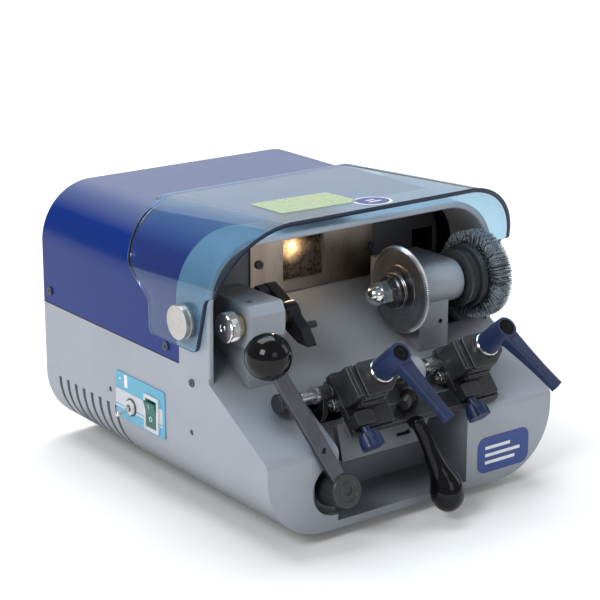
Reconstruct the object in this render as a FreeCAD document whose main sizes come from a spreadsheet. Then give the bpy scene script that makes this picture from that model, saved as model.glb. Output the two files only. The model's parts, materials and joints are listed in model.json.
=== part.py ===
import FreeCAD, Part, Sketcher
import math
import os
import re

# A semi-automatic key duplicating machine. X runs to the right, Y to the back, Z up.
# The origin is on the bench, on the centre plane, under the vertical nose of the body.
# Lengths are in millimetres and angles in degrees.

os.makedirs("parts", exist_ok=True)
doc = FreeCAD.newDocument("key_duplicating_machine")
Vec = FreeCAD.Vector
AXIS_X = Vec(1, 0, 0)
AXIS_Y = Vec(0, 1, 0)
AXIS_Z = Vec(0, 0, 1)

# ---------------------------------------------------------------- driving dimensions

SIZES = {
    "body_width": 320, "body_depth": 361, "body_top": 250, "foot_height": 10, "foot_radius": 14,
    "corner_low": 59, "corner_top": 54, "casting_wall": 5, "seam_height": 138, "cheek_height": 135,
    "nose_height": 82, "nose_round": 8, "deck_angle": 30.2, "deck_skin": 5, "back_wall": 155,
    "hood_front": 84, "hood_wall": 6, "cover_front": 129, "cover_wall": 2,
    "recess_left": -86, "recess_right": 59, "recess_depth": 57, "recess_floor": 17, "deck_mouth": 25,
    "spindle_y": 81, "spindle_z": 179, "spindle_radius": 6, "housing_radius": 19.5,
    "cutter_radius": 40, "cutter_width": 5, "cutter_x": 46.5, "cutter_bore": 8,
    "brush_radius": 41, "brush_inner": 24, "pulley_radius": 28, "belt_width": 8, "belt_x": 116,
    "motor_y": 240, "motor_z": 120, "motor_radius": 50, "motor_pulley_radius": 21,
    "tracer_x": -79, "quill_radius": 8, "tracer_reach": 40,
    "pivot_y": 36, "pivot_z": 119, "shaft_radius": 6, "rod_radius": 4, "running_gap": 0.05,
    "clamp_tilt": 48, "left_clamp_x": -37.8, "clamp_pitch": 120, "ring_y": 5, "ring_z": 139.4,
    "jaw_left": 22, "jaw_right": 16, "jaw_height": 13.2, "stud_radius": 5, "grip_length": 68,
    "lever_x": -88, "lever_y": -16, "lever_z": 50, "lever_lean": 13.8, "lever_angle": 24.8,
    "lever_reach": 138, "hub_radius": 15, "hub_length": 28, "ball_radius": 20, "crank_reach": 61.5,
    "crank_offset": 10.3, "lever_shaft_radius": 7,
    "hinge_y": 110, "hinge_z": 182, "shield_half": 166.7, "shield_corner": 68, "shield_wall": 4,
    "shield_top": 270.7, "part_gap": 0.3,
}

sheet = doc.addObject("Spreadsheet::Sheet", "Sizes")
for row, (alias, value) in enumerate(SIZES.items(), start=1):
    sheet.set("A%d" % row, alias)
    sheet.set("B%d" % row, str(value))
    sheet.setAlias("B%d" % row, alias)
doc.recompute()


def size(alias):
    """A driving dimension, read back from the sheet."""
    return float(sheet.get(alias))


def linked(expression):
    """The expression with each dimension's name pointed at the sheet."""
    return re.sub(r"[a-z]+(_[a-z]+)+", lambda word: "Sizes." + word.group(0), expression)


def bind(item, prop, value):
    """Give a property a number, or an expression on the sheet."""
    if isinstance(value, str):
        item.setExpression(prop, linked(value))
    else:
        item.setExpression(prop, repr(float(value)))


WALL = size("casting_wall")
TOP = size("body_top")
FOOT = size("foot_height")
HALF = size("body_width") / 2
DEPTH = size("body_depth")
SEAM = size("seam_height")
GAP = size("part_gap")
RUN = size("running_gap")
DECK = math.radians(size("deck_angle"))
NOSE = size("nose_height")
SPINDLE = Vec(0, size("spindle_y"), size("spindle_z"))
PIVOT = Vec(0, size("pivot_y"), size("pivot_z"))
CLAMPS = {"left": size("left_clamp_x"), "right": size("left_clamp_x") + size("clamp_pitch")}


def deck_height(y):
    """Height of the sloping deck's top face at a distance behind the nose."""
    return NOSE + y * math.tan(DECK)


# ---------------------------------------------------------------- shape helpers

def block(x0, x1, y0, y1, z0, z1):
    return Part.makeBox(x1 - x0, y1 - y0, z1 - z0, Vec(x0, y0, z0))


def rod(radius, start, length, axis=AXIS_X):
    return Part.makeCylinder(radius, length, start, axis)


def tube(outer, inner, start, length, axis=AXIS_X):
    return rod(outer, start, length, axis).cut(rod(inner, start, length, axis))


def rounded_wire(corners):
    """A closed wire through (point, radius) corners, with a tangent arc at each."""
    edges = []
    first = last = None
    for index, (here, radius) in enumerate(corners):
        before = corners[index - 1][0]
        after = corners[(index + 1) % len(corners)][0]
        back = (before - here).normalize()
        ahead = (after - here).normalize()
        if radius:
            half = back.getAngle(ahead) / 2
            reach = radius / math.tan(half)
            start = here + back * reach
            end = here + ahead * reach
            middle = here + (back + ahead).normalize() * (radius / math.sin(half) - radius)
        else:
            start = end = here
        if last is not None and (last - start).Length > 1e-6:
            edges.append(Part.LineSegment(last, start).toShape())
        if radius:
            edges.append(Part.Arc(start, middle, end).toShape())
        first = start if first is None else first
        last = end
    edges.append(Part.LineSegment(last, first).toShape())
    return Part.Wire(edges)


def side_prism(corners, x0, x1):
    """A solid with a side profile of (y, z) or (y, z, radius) corners, from x0 to x1."""
    wire = rounded_wire([(Vec(x0, c[0], c[1]), c[2] if len(c) > 2 else 0) for c in corners])
    return Part.Face(wire).extrude(Vec(x1 - x0, 0, 0))


def front_prism(corners, y0, y1):
    """A solid with a front profile of (x, z) or (x, z, radius) corners, from y0 to y1."""
    wire = rounded_wire([(Vec(c[0], y0, c[1]), c[2] if len(c) > 2 else 0) for c in corners])
    return Part.Face(wire).extrude(Vec(0, y1 - y0, 0))


def flat_prism(corners, z0, z1):
    """A solid with a plan of (x, y) or (x, y, radius) corners, from z0 to z1."""
    wire = rounded_wire([(Vec(c[0], c[1], z0), c[2] if len(c) > 2 else 0) for c in corners])
    return Part.Face(wire).extrude(Vec(0, 0, z1 - z0))


def body_section(inset, y0, y1):
    """The body's rounded front outline, moved inwards, as a solid from y0 to y1."""
    low = size("corner_low") - inset
    top = size("corner_top") - inset
    right = HALF - inset
    floor = FOOT + inset
    roof = TOP - inset
    return front_prism([(-right, floor, low), (right, floor, low), (right, roof, top),
                        (-right, roof, top)], y0, y1)


def ring_of_points(count, radius, start=0.0):
    step = 2 * math.pi / count
    return [(radius * math.cos(start + step * i), radius * math.sin(start + step * i))
            for i in range(count)]


def hexagon(across, start, length):
    """A hexagonal prism along X."""
    corners = ring_of_points(6, across / math.sqrt(3), math.pi / 6)
    return side_prism([(start.y + y, start.z + z) for y, z in corners], start.x, start.x + length)


def screw(at, head_radius, head_height, shank_radius, shank_length, axis, socket=0.0):
    """A screw whose head's underside is at a point, with its head out along an axis."""
    shape = rod(head_radius, at, head_height, axis)
    shape = shape.fuse(rod(shank_radius, at - axis * shank_length, shank_length, axis))
    if socket:
        shape = shape.cut(rod(socket, at + axis * (head_height * 0.45), head_height, axis))
    return shape


# ---------------------------------------------------------------- document helpers

PARTS = []


def keep(item, label):
    """Name a document object as one sub-part of the machine."""
    item.Label = label
    PARTS.append((label, item))
    return item


def merged_faces(shape):
    """The shape with its split faces joined, or as it was where they can't be."""
    if len(shape.Solids) != 1:
        return shape
    try:
        cleaned = shape.removeSplitter()
    except Part.OCCError:
        return shape
    return cleaned if cleaned.isValid() and len(cleaned.Solids) == 1 else shape


def feature(label, shape, placement=None):
    """A sub-part whose shape is given directly."""
    item = doc.addObject("Part::Feature", label)
    if isinstance(shape, list):
        shape = Part.makeCompound(shape)
    item.Shape = merged_faces(shape)
    item.Placement = placement or FreeCAD.Placement()
    return keep(item, label)


def primitive(kind, name, **values):
    """A Part primitive with its sizes and place bound to the sheet."""
    item = doc.addObject("Part::" + kind, name)
    for prop, value in values.items():
        if prop in ("x", "y", "z"):
            bind(item, "Placement.Base." + prop, value)
        else:
            bind(item, prop, value)
    return item


def turn_to_x(item):
    """Lay a primitive's own Z axis along +X."""
    base = item.Placement.Base
    item.Placement = FreeCAD.Placement(base, FreeCAD.Rotation(AXIS_Y, 90))
    return item


def origin_plane(body, role):
    return next(plane for plane in body.Origin.OriginFeatures if plane.Role == role)


def profile_sketch(body, name, role, points):
    """A closed sketch of straight lines with each corner dimensioned from the origin."""
    sketch = body.newObject("Sketcher::SketchObject", name)
    sketch.AttachmentSupport = [(origin_plane(body, role), "")]
    sketch.MapMode = "FlatFace"
    values = [tuple(evaluate(v) for v in point) for point in points]
    for index, (here, there) in enumerate(zip(values, values[1:] + values[:1])):
        line = Part.LineSegment(Vec(here[0], here[1], 0), Vec(there[0], there[1], 0))
        sketch.addGeometry(line, False)
    for index in range(len(points)):
        following = (index + 1) % len(points)
        sketch.addConstraint(Sketcher.Constraint("Coincident", index, 2, following, 1))
    for index, point in enumerate(points):
        for kind, value in zip(("DistanceX", "DistanceY"), point):
            number = sketch.addConstraint(
                Sketcher.Constraint(kind, -1, 1, index, 1, float(evaluate(value))))
            if isinstance(value, str):
                sketch.setExpression("Constraints[%d]" % number, linked(value))
    return sketch


def evaluate(value):
    """The number that an expression on the sheet stands for."""
    if not isinstance(value, str):
        return value
    return float(doc.getObject("Sizes").evalExpression(value))


def turned(label, profile, start, axis=AXIS_X):
    """A turned sub-part: a profile of (distance along the axis, radius), spun round it."""
    body = doc.addObject("PartDesign::Body", label)
    sketch = profile_sketch(body, label + "_profile", "XY_Plane", profile)
    spin = body.newObject("PartDesign::Revolution", label + "_turned")
    spin.Profile = sketch
    spin.ReferenceAxis = (sketch, ["H_Axis"])
    spin.Angle = 360.0
    body.Tip = spin
    body.Placement = FreeCAD.Placement(Vec(0, 0, 0), FreeCAD.Rotation(AXIS_X, axis))
    for prop, value in zip("xyz", start):
        bind(body, "Placement.Base." + prop, value)
    return keep(body, label)


def primitive_cut(label, base, *tools):
    """A primitive with others cut from it, kept as a sub-part."""
    last = base
    for index, tool in enumerate(tools, start=1):
        step = doc.addObject("Part::Cut", "%s_cut_%d" % (label, index))
        step.Base = last
        step.Tool = tool
        last = step
    return keep(last, label)


# ---------------------------------------------------------------- lever frame of reference

LEVER = FreeCAD.Placement(Vec(size("lever_x"), size("lever_y"), size("lever_z")),
                          FreeCAD.Rotation(AXIS_X, -90 - size("lever_lean")))
LEVER_AXIS = LEVER.Rotation.multVec(AXIS_Z)


def lever_point(depth):
    """A point on the feed lever's axis, at a depth behind the hub's front face."""
    return LEVER.multVec(Vec(0, 0, depth))


# ---------------------------------------------------------------- body of the machine

def make_main_frame():
    """One casting: sloping deck, nose with its recess, sides, floor and back wall."""
    slab = size("deck_skin") / math.cos(DECK)
    wall_y = size("back_wall")
    hood_y = size("hood_front")
    cheek = size("cheek_height")
    left, right = size("recess_left"), size("recess_right")
    depth, mouth, floor = size("recess_depth"), size("deck_mouth"), size("recess_floor")
    outside = side_prism([(0, 0), (DEPTH, 0), (DEPTH, SEAM), (size("cover_front"), SEAM),
                          (size("cover_front"), cheek), (hood_y, cheek),
                          (hood_y, deck_height(hood_y)), (0, NOSE, size("nose_round"))],
                         -HALF, HALF)
    inside = side_prism([(WALL + 1, 0), (DEPTH - WALL, 0), (DEPTH - WALL, TOP), (hood_y, TOP),
                         (hood_y, deck_height(hood_y) - slab),
                         (WALL + 1, deck_height(WALL + 1) - slab)], -HALF, HALF)
    shape = body_section(0, 0, DEPTH).common(outside)
    shape = shape.cut(body_section(WALL, 0, DEPTH).common(inside))
    deck_half = HALF - size("hood_wall") - GAP
    shape = shape.fuse(side_prism([(0, NOSE - slab), (0, NOSE, size("nose_round")),
                                   (wall_y, deck_height(wall_y)),
                                   (wall_y, deck_height(wall_y) - slab)], -deck_half, deck_half))
    fork_way = -28
    back = depth + WALL - 1
    hidden_left = -111
    walls = [block(hidden_left, right + WALL, 1, back, FOOT + 1, floor),
             block(hidden_left, right + WALL, depth, back, FOOT + 1, NOSE),
             block(hidden_left, hidden_left + WALL, 1, back, FOOT + 1, NOSE - slab),
             side_prism([(1, FOOT + 1), (back, FOOT + 1), (back, deck_height(back) - 1),
                         (1, deck_height(1) - 1)], right, right + WALL),
             side_prism([(depth, NOSE - 1), (back, NOSE - 1), (back, deck_height(back) - 1),
                         (depth, deck_height(depth) - 1)], fork_way, right + WALL)]
    deck_mouth = block(left, right, -1, mouth, floor, TOP)
    fork_slot = block(left, fork_way, mouth, 50, 60, TOP)
    shape = shape.cut(Part.makeCompound([deck_mouth, fork_slot])).fuse(walls)
    shape = shape.cut(block(left, right, -1, mouth, floor, NOSE + 20))
    lever_hole = rod(24, Vec(size("lever_x") - 1, -1, size("lever_z") - 3), WALL + 3, AXIS_Y)
    belt_slot = block(107, 126, 88, wall_y + 1, 60, TOP)
    shape = shape.cut(lever_hole).cut(belt_slot)
    shape = shape.cut(rod(10, lever_point(60), 40, LEVER_AXIS))
    for side in (-1, 1):
        for index in range(8):
            y = 234.5 + 14.4 * index
            low, high = sorted((side * 118, side * (HALF + 5)))
            shape = shape.cut(block(low, high, y - 2.5, y + 2.5, 22, 68.5))
        for y in (149, 349):
            low, high = sorted((side * (HALF - 10), side * (HALF - size("cover_wall") - 0.4)))
            shape = shape.fuse(block(low, high, y - 6, y + 6, 118, 158))
        for y in (90, 320):
            shape = shape.cut(rod(3.25, Vec(side * 85, y, FOOT - 1), WALL + 2, AXIS_Z))
        for y in (32, 335):
            shape = shape.cut(rod(2, Vec(side * 82, y, FOOT - 1), WALL + 4, AXIS_Z))
        tapped = Vec(HALF - 3 if side > 0 else -HALF, 109.5, 125.3)
        shape = shape.cut(rod(1.5, tapped, 3))
        for y, z in ((244, 81.5), (111, 79.6)):
            plugged = Vec(HALF - 2 if side > 0 else -HALF, y, z)
            shape = shape.cut(rod(2.6, plugged, 2))
    shape = shape.cut(block(-HALF - 5, -HALF + 10, 163, 182, 64.5, 92.5))
    shape = shape.cut(rod(5.6, Vec(-HALF - 5, 207, 74.7), 15))
    return shape


def make_hood():
    """The front half of the upper shell, which carries on the outline over the work area."""
    front, cover = size("hood_front"), size("cover_front")
    wall = size("hood_wall")
    skirt = size("cover_wall") + GAP
    above = block(-HALF, HALF, front, cover, size("cheek_height"), TOP)
    lip = block(-HALF, HALF, cover, cover + 7, SEAM, TOP)
    shape = body_section(0, front, cover).cut(body_section(wall, front, cover)).common(above)
    edges = [edge for edge in shape.Edges
             if edge.BoundBox.YMax < front + 0.01 and edge.BoundBox.ZMin > size("cheek_height") - 1
             and edge.Length > 20]
    shape = shape.makeFillet(2.0, edges)
    inner = body_section(skirt, cover, cover + 7).cut(body_section(wall, cover, cover + 7))
    shape = shape.fuse(inner.common(lip))
    pin = rod(4 + RUN, Vec(-HALF - 1, size("hinge_y"), size("hinge_z")), 2 * HALF + 2)
    return shape.cut(pin)


def make_top_cover():
    """The folded sheet cover over the back of the machine."""
    front, wall = size("cover_front") + 0.4, size("cover_wall")
    shape = body_section(0, front, DEPTH).cut(body_section(wall, front, DEPTH))
    shape = shape.common(block(-HALF, HALF, front, DEPTH, SEAM, TOP))
    for y, z in ((349, 150), (149, 148)):
        shape = shape.cut(rod(1.8, Vec(-HALF - 1, y, z), 2 * HALF + 2))
    return shape


def make_partition():
    """The upright wall behind the deck, with the lamp's window and the belt's way through."""
    y = size("back_wall")
    inset = size("hood_wall") + GAP
    shape = body_section(inset, y, y + 3).common(block(-HALF, HALF, y, y + 3, deck_height(y), TOP))
    shape = shape.cut(block(-31, 15, y - 1, y + 4, 183, 221))
    shape = shape.cut(block(122, 150, y - 1, y + 4, 183, 207))
    return shape.cut(block(107, 126, y - 1, y + 4, 160, 190))


def make_rear_panel():
    """The plate that closes the back, above the casting's own wall."""
    inset = size("cover_wall") + GAP
    y = DEPTH - 4
    shape = body_section(inset, y, y + 2).common(block(-HALF, HALF, y, y + 2, SEAM, TOP))
    shape = shape.cut(block(60, 88, y - 1, y + 3, 160, 180))
    for index in range(10):
        x = -90 + 10 * index
        shape = shape.cut(block(x - 2, x + 2, y - 1, y + 3, 165, 205))
    return shape


def make_feet():
    feet = []
    for side in (-1, 1):
        for y in (32, 335):
            at = Vec(side * 82, y, 0)
            foot = Part.makeCone(size("foot_radius") - 2, size("foot_radius"), FOOT, at)
            foot = foot.cut(rod(6, at, 5, AXIS_Z)).cut(rod(2, at, FOOT, AXIS_Z))
            feet.append(foot)
    return feet


def make_screws():
    """All the small fixed screws, each one a separate solid."""
    group = []
    for side in (-1, 1):
        out = AXIS_X * side
        wall = size("cover_wall")
        for y, z in ((349, 150), (149, 148)):
            group.append(screw(Vec(side * HALF, y, z), 4, 1.6, 1.8, wall, out, 1.6))
        group.append(screw(Vec(side * HALF, 109.5, 125.3), 3.5, 1.4, 1.5, 3, out, 1.4))
        for y in (32, 335):
            group.append(screw(Vec(side * 82, y, 5), 4.5, 2.5, 2, 8, -AXIS_Z))
    for x, z in ((-58, 203), (68, 201)):
        group.append(screw(Vec(x, size("back_wall") - 2, z), 4, 2.2, 1.8, 1.8, -AXIS_Y, 1.8))
    for x, y in ((66, 103), (80, 98)):
        group.append(screw(Vec(x, y, HOUSING_TOP), 2.2, 0.8, 1.5, 3, AXIS_Z))
    group.append(screw(Vec(-122, 78, HOUSING_TOP), 2.6, 0.8, 1.5, 3, AXIS_Z, 1.2))
    return group


HOUSING_TOP = size("spindle_z") + size("housing_radius")

feature("main_frame", make_main_frame())
feature("hood", make_hood())
feature("top_cover", make_top_cover())
feature("partition_wall", make_partition())
feature("rear_panel", make_rear_panel())
feature("rubber_feet", make_feet())

# ---------------------------------------------------------------- lamp

WINDOW_PLATE = primitive("Box", "lamp_plate_blank", x=-67, y="back_wall - 2",
                         z=deck_height(size("back_wall")) + 0.4, Length=139, Width=2, Height=59)
WINDOW_HOLE = primitive("Box", "lamp_plate_window", x=-31, y="back_wall - 3", z=183,
                        Length=46, Width=4, Height=38)
HOLE_LEFT = primitive("Cylinder", "lamp_plate_hole_left", x=-58, y="back_wall + 1", z=203,
                      Radius=1.8, Height=4)
HOLE_RIGHT = primitive("Cylinder", "lamp_plate_hole_right", x=68, y="back_wall + 1", z=201,
                       Radius=1.8, Height=4)
for hole in (HOLE_LEFT, HOLE_RIGHT):
    hole.Placement.Rotation = FreeCAD.Rotation(AXIS_X, 90)
primitive_cut("lamp_plate", WINDOW_PLATE, WINDOW_HOLE, HOLE_LEFT, HOLE_RIGHT)

turned("lamp_bulb", [(0, 0), (1, 4), (4, 7.4), (8, 8.5), (13, 7), (18, 4.4), (22, 4.2), (22, 0)],
       (-20, "back_wall + 8", 212), AXIS_Y)
SOCKET = rod(8, Vec(-20, size("back_wall") + 27, 212), 18, AXIS_Y)
SOCKET = SOCKET.cut(rod(4.4, Vec(-20, size("back_wall") + 27, 212), 8, AXIS_Y))
SOCKET_ARM = block(-25, -15, size("back_wall") + 3, size("back_wall") + 40, 225, 227)
SOCKET_DROP = block(-25, -15, size("back_wall") + 36, size("back_wall") + 40, 214, 227)
feature("lamp_socket", SOCKET.fuse([SOCKET_ARM, SOCKET_DROP]))

# ---------------------------------------------------------------- switches and inlet

def make_switch_plate():
    face = -HALF
    plate = block(face - 1, face, 152, 233, 60, 104)
    edges = [edge for edge in plate.Edges if abs(edge.tangentAt(0).x) > 0.9]
    plate = plate.makeFillet(3, edges)
    plate = plate.cut(block(face - 2, face + 1, 163, 182, 64.5, 92.5))
    return plate.cut(rod(5.6, Vec(face - 2, 207, 74.7), 4))


def make_switch_bezels():
    face = -HALF - 1
    frame = block(face - 1.6, face, 161, 184, 62, 95)
    frame = frame.fuse(block(face, face + 16, 163, 182, 64.5, 92.5))
    frame = frame.cut(block(face - 2, face + 14, 163.8, 181.2, 65.2, 91.8))
    thread = tube(5.5, 3.6, Vec(face - 3, 207, 74.7), 16)
    nut = hexagon(13, Vec(face - 2.2, 207, 74.7), 2.2).cut(rod(5.5, Vec(face - 3, 207, 74.7), 4))
    return [frame, thread.fuse(nut)]


def make_rocker():
    """A rocker leaning into its off position; its pivot is 3 mm inside the frame's face."""
    face = -HALF - 1
    mid = 78.5
    profile = [(face - 2.6, mid - 12.4, 0.6), (face - 1.2, mid, 3), (face - 2.6, mid + 12.4, 0.6),
               (face + 8, mid + 9, 1), (face + 8, mid - 9, 1)]
    shape = front_prism(profile, 164.1, 180.9)
    shape = shape.cut(rod(1, Vec(face + 3, 160, mid), 25, AXIS_Y))
    shape.rotate(Vec(face + 3, 0, mid), AXIS_Y, -8)
    return shape


def make_toggle():
    """A bat that thickens to a domed tip; its pivot rod lies in the plate's plane."""
    pivot = Vec(-HALF, 207, 74.7)
    length, root, tip = 15.4, 1.5, 2.5
    end = pivot - AXIS_X * length
    crown = tip * math.sqrt(0.5)
    dome = Part.Arc(end + AXIS_Z * tip, end + Vec(-crown, 0, crown), end - AXIS_X * tip)
    outline = Part.Wire([Part.makeLine(pivot, pivot + AXIS_Z * root),
                         Part.makeLine(pivot + AXIS_Z * root, end + AXIS_Z * tip),
                         dome.toShape(), Part.makeLine(end - AXIS_X * tip, pivot)])
    bat = Part.Face(outline).revolve(pivot, AXIS_X, 360)
    bat.rotate(pivot, AXIS_Y, -12)
    return bat.fuse(rod(2.5, pivot - AXIS_Y * 2.5, 5, AXIS_Y))


def make_inlet():
    y = DEPTH - 2
    flange = block(50, 98, y, y + 2, 158, 182)
    shell = block(60.3, 87.7, y - 18, y, 160.3, 179.7)
    shape = flange.fuse(shell).cut(block(62.5, 85.5, y - 16, y + 3, 162.5, 177.5))
    for x, z in ((67, 168), (81, 168), (74, 172)):
        shape = shape.fuse(block(x - 1, x + 1, y - 17, y - 1, z - 2, z + 2))
    return shape


feature("switch_plate", make_switch_plate())
feature("switch_bezels", make_switch_bezels())
feature("power_rocker", make_rocker())
feature("lamp_toggle", make_toggle())
feature("power_inlet", make_inlet())

# ---------------------------------------------------------------- spindle and its drive

def deck_pedestal(x0, x1, y0, y1, top):
    """A pillar with its foot cut to the deck's slope."""
    return side_prism([(y0, deck_height(y0)), (y1, deck_height(y1)), (y1, top), (y0, top)], x0, x1)


def make_spindle_housing():
    x0, x1 = 52, 106
    radius = size("housing_radius")
    shape = rod(radius, Vec(x0, SPINDLE.y, SPINDLE.z), x1 - x0)
    shape = shape.fuse(block(x0, x1, SPINDLE.y, 130, SPINDLE.z - radius, HOUSING_TOP))
    shape = shape.fuse(deck_pedestal(58, 92, 67, 130, SPINDLE.z - 8))
    shape = shape.cut(rod(7, Vec(x0, SPINDLE.y, SPINDLE.z), x1 - x0))
    for x in (x0, x1 - 9):
        shape = shape.cut(rod(14, Vec(x, SPINDLE.y, SPINDLE.z), 9))
    shape = shape.cut(rod(1.5, Vec(66, 103, HOUSING_TOP - 3), 4, AXIS_Z))
    shape = shape.cut(rod(1.5, Vec(80, 98, HOUSING_TOP - 3), 4, AXIS_Z))
    return shape.cut(rod(2.2, Vec(83, 66, 146), 12, AXIS_Y))


def make_tracer_bracket():
    x0, x1 = -131, -96
    nose = [(130, HOUSING_TOP), (67, HOUSING_TOP, 2), (62, 190, 2), (62, 170, 2), (67, 160, 2),
            (130, 160)]
    shape = side_prism(nose, x0, x1).fuse(deck_pedestal(x0 + 3, x1 - 3, 71, 130, 165))
    shape = shape.cut(rod(size("quill_radius") + RUN, Vec(x0, SPINDLE.y, SPINDLE.z), x1 - x0))
    return shape.cut(rod(1.5, Vec(-122, 78, HOUSING_TOP - 3), 4, AXIS_Z))


def make_cap_nut():
    x = 19.5
    nut = hexagon(19.5, Vec(x, SPINDLE.y, SPINDLE.z), 13.5)
    dome = Part.makeSphere(9.6, Vec(x - 0.9, SPINDLE.y, SPINDLE.z))
    dome = dome.common(block(0, x, 0, 200, 0, TOP))
    cone = Part.makeCone(9.6, 11.6, 3, Vec(x - 0.6, SPINDLE.y, SPINDLE.z), AXIS_X)
    back = Part.makeCone(14, 10.6, 14, Vec(x - 0.5, SPINDLE.y, SPINDLE.z), AXIS_X)
    nut = nut.common(back.fuse(cone)).fuse(dome)
    return nut.cut(rod(size("spindle_radius"), Vec(x + 0.5, SPINDLE.y, SPINDLE.z), 14))


def belt_outline(radius_a, radius_b, x, width):
    """The solid inside a belt that runs outside two circles in a plane across X."""
    a = Vec(x, SPINDLE.y, SPINDLE.z)
    b = Vec(x, size("motor_y"), size("motor_z"))
    run = b - a
    angle = math.atan2(run.z, run.y)
    lean = math.acos((radius_a - radius_b) / run.Length)

    def on(centre, radius, turn):
        return centre + Vec(0, math.cos(turn), math.sin(turn)) * radius

    up, down = angle + lean, angle - lean
    edges = [Part.LineSegment(on(a, radius_a, up), on(b, radius_b, up)).toShape(),
             Part.Arc(on(b, radius_b, up), on(b, radius_b, angle), on(b, radius_b, down)).toShape(),
             Part.LineSegment(on(b, radius_b, down), on(a, radius_a, down)).toShape(),
             Part.Arc(on(a, radius_a, down), on(a, radius_a, angle + math.pi),
                      on(a, radius_a, up)).toShape()]
    return Part.Face(Part.Wire(edges)).extrude(Vec(width, 0, 0))


def make_belt():
    width = size("belt_width")
    x = size("belt_x") - width / 2
    inner_a = size("pulley_radius") - 6.5 + GAP
    inner_b = size("motor_pulley_radius") - 4 + GAP
    outer = belt_outline(inner_a + 4, inner_b + 4, x, width)
    return outer.cut(belt_outline(inner_a, inner_b, x, width))


def make_motor_body():
    centre = Vec(0, size("motor_y"), size("motor_z"))
    radius = size("motor_radius")
    shape = rod(radius, centre + AXIS_X * -30, 120)
    shape = shape.fuse(Part.makeCone(radius - 4, 22, 10, centre + AXIS_X * 90, AXIS_X))
    shape = shape.fuse(Part.makeCone(22, radius - 4, 10, centre + AXIS_X * -40, AXIS_X))
    for index in range(18):
        angle = math.radians(20 * index)
        fin = block(-20, 80, radius - 0.5, radius + 4, -1.2, 1.2)
        fin.rotate(Vec(0, 0, 0), AXIS_X, math.degrees(angle))
        fin.translate(centre)
        shape = shape.fuse(fin)
    return shape.cut(rod(8 + RUN, centre + AXIS_X * -30, 140))


def make_motor_bracket():
    y, z = size("motor_y"), size("motor_z")
    floor = FOOT + WALL
    shape = block(-15, 75, y - 45, y + 45, floor, floor + 4)
    for x in (-15, 65):
        shape = shape.fuse(block(x, x + 10, y - 45, y + 45, floor, z - 20))
    return shape.cut(rod(size("motor_radius") + 4.3, Vec(-20, y, z), 100))


feature("spindle_housing", make_spindle_housing())
feature("spindle_bearings", [tube(14, 6 + RUN, Vec(x, SPINDLE.y, SPINDLE.z), 9) for x in (52, 97)])
SPINDLE_START = (0, "spindle_y", "spindle_z")
turned("spindle_shaft", [(20, 0), (20, "spindle_radius"), (41, "spindle_radius"),
                         (41, "cutter_bore"), (49, "cutter_bore"), (49, 11), (51.6, 11),
                         (51.6, "spindle_radius"), (149, "spindle_radius"), (149, 0)],
       SPINDLE_START)
turned("cutter_wheel", [("cutter_x - cutter_width / 2", "cutter_bore"),
                        ("cutter_x - cutter_width / 2", "cutter_radius - 0.8"),
                        ("cutter_x - 0.6", "cutter_radius"), ("cutter_x + 0.6", "cutter_radius"),
                        ("cutter_x + cutter_width / 2", "cutter_radius - 0.8"),
                        ("cutter_x + cutter_width / 2", "cutter_bore")], SPINDLE_START)
turned("cutter_collar", [(33, "spindle_radius"), (33, 14.5), (34.5, 16), (44, 16),
                         (44, "cutter_bore"), (41, "cutter_bore"), (41, "spindle_radius")],
       SPINDLE_START)
feature("cap_nut", make_cap_nut())
turned("spindle_pulley", [(109, "spindle_radius"), (109, "pulley_radius - 1"),
                          (111.4, "pulley_radius - 1"), (111.4, "pulley_radius - 6.5"),
                          (120.6, "pulley_radius - 6.5"), (120.6, "pulley_radius + 1"),
                          (127, "pulley_radius + 1"), (127, "spindle_radius")], SPINDLE_START)
turned("brush_hub", [(127, "spindle_radius"), (127, "brush_inner"), (130, "brush_inner"),
                     (130, 20), (146, 20), (146, "brush_inner"), (149, "brush_inner"),
                     (149, "spindle_radius")], SPINDLE_START)
turned("brush_bristles", [(130, 20), (130, 24), (128, "brush_radius"), (146, "brush_radius"),
                          (146, 24), (146, 20)], SPINDLE_START)
feature("drive_belt", make_belt())
feature("motor_body", make_motor_body())
feature("motor_bracket", make_motor_bracket())
MOTOR_START = (0, "motor_y", "motor_z")
turned("motor_shaft", [(-28, 0), (-28, 8), (126, 8), (126, 0)], MOTOR_START)
turned("motor_pulley", [(109, 8), (109, "motor_pulley_radius + 2"),
                        (111.4, "motor_pulley_radius + 2"), (111.4, "motor_pulley_radius - 4"),
                        (120.6, "motor_pulley_radius - 4"), (120.6, "motor_pulley_radius + 2"),
                        (123, "motor_pulley_radius + 2"), (123, 8)], MOTOR_START)

# ---------------------------------------------------------------- tracer

def make_tracer_arm():
    """A bar through the quill, with its point as far out as the cutter's rim."""
    reach = size("tracer_reach")
    outline = [(-reach, 0, 0), (-24, 7, 3), (-10, 8, 4), (10, 9, 6), (36, 7, 5), (36, -7, 5),
               (10, -9, 6), (-12, -9, 4), (-27, -7, 2)]
    bar = side_prism([(p[0], p[1], p[2]) for p in outline], -5, 5)
    bar = bar.fuse(rod(12, Vec(-6.5, 0, 0), 12))
    bar = bar.cut(rod(size("quill_radius"), Vec(-7, 0, 0), 8))
    bar.rotate(Vec(0, 0, 0), AXIS_X, 30)
    bar.translate(Vec(size("tracer_x"), SPINDLE.y, SPINDLE.z))
    return bar


def make_tracer_screws():
    x = size("tracer_x")
    lean = math.radians(30)
    rear = Vec(x - 5, SPINDLE.y + 30 * math.cos(lean), SPINDLE.z + 30 * math.sin(lean))
    front = Vec(x + 5, SPINDLE.y - 20 * math.cos(lean), SPINDLE.z - 20 * math.sin(lean) + 3)
    return [rod(6.5, rear - AXIS_X * 9, 9), rod(3.2, front, 11), rod(2.4, front + Vec(0, 6, -9), 3)]


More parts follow.
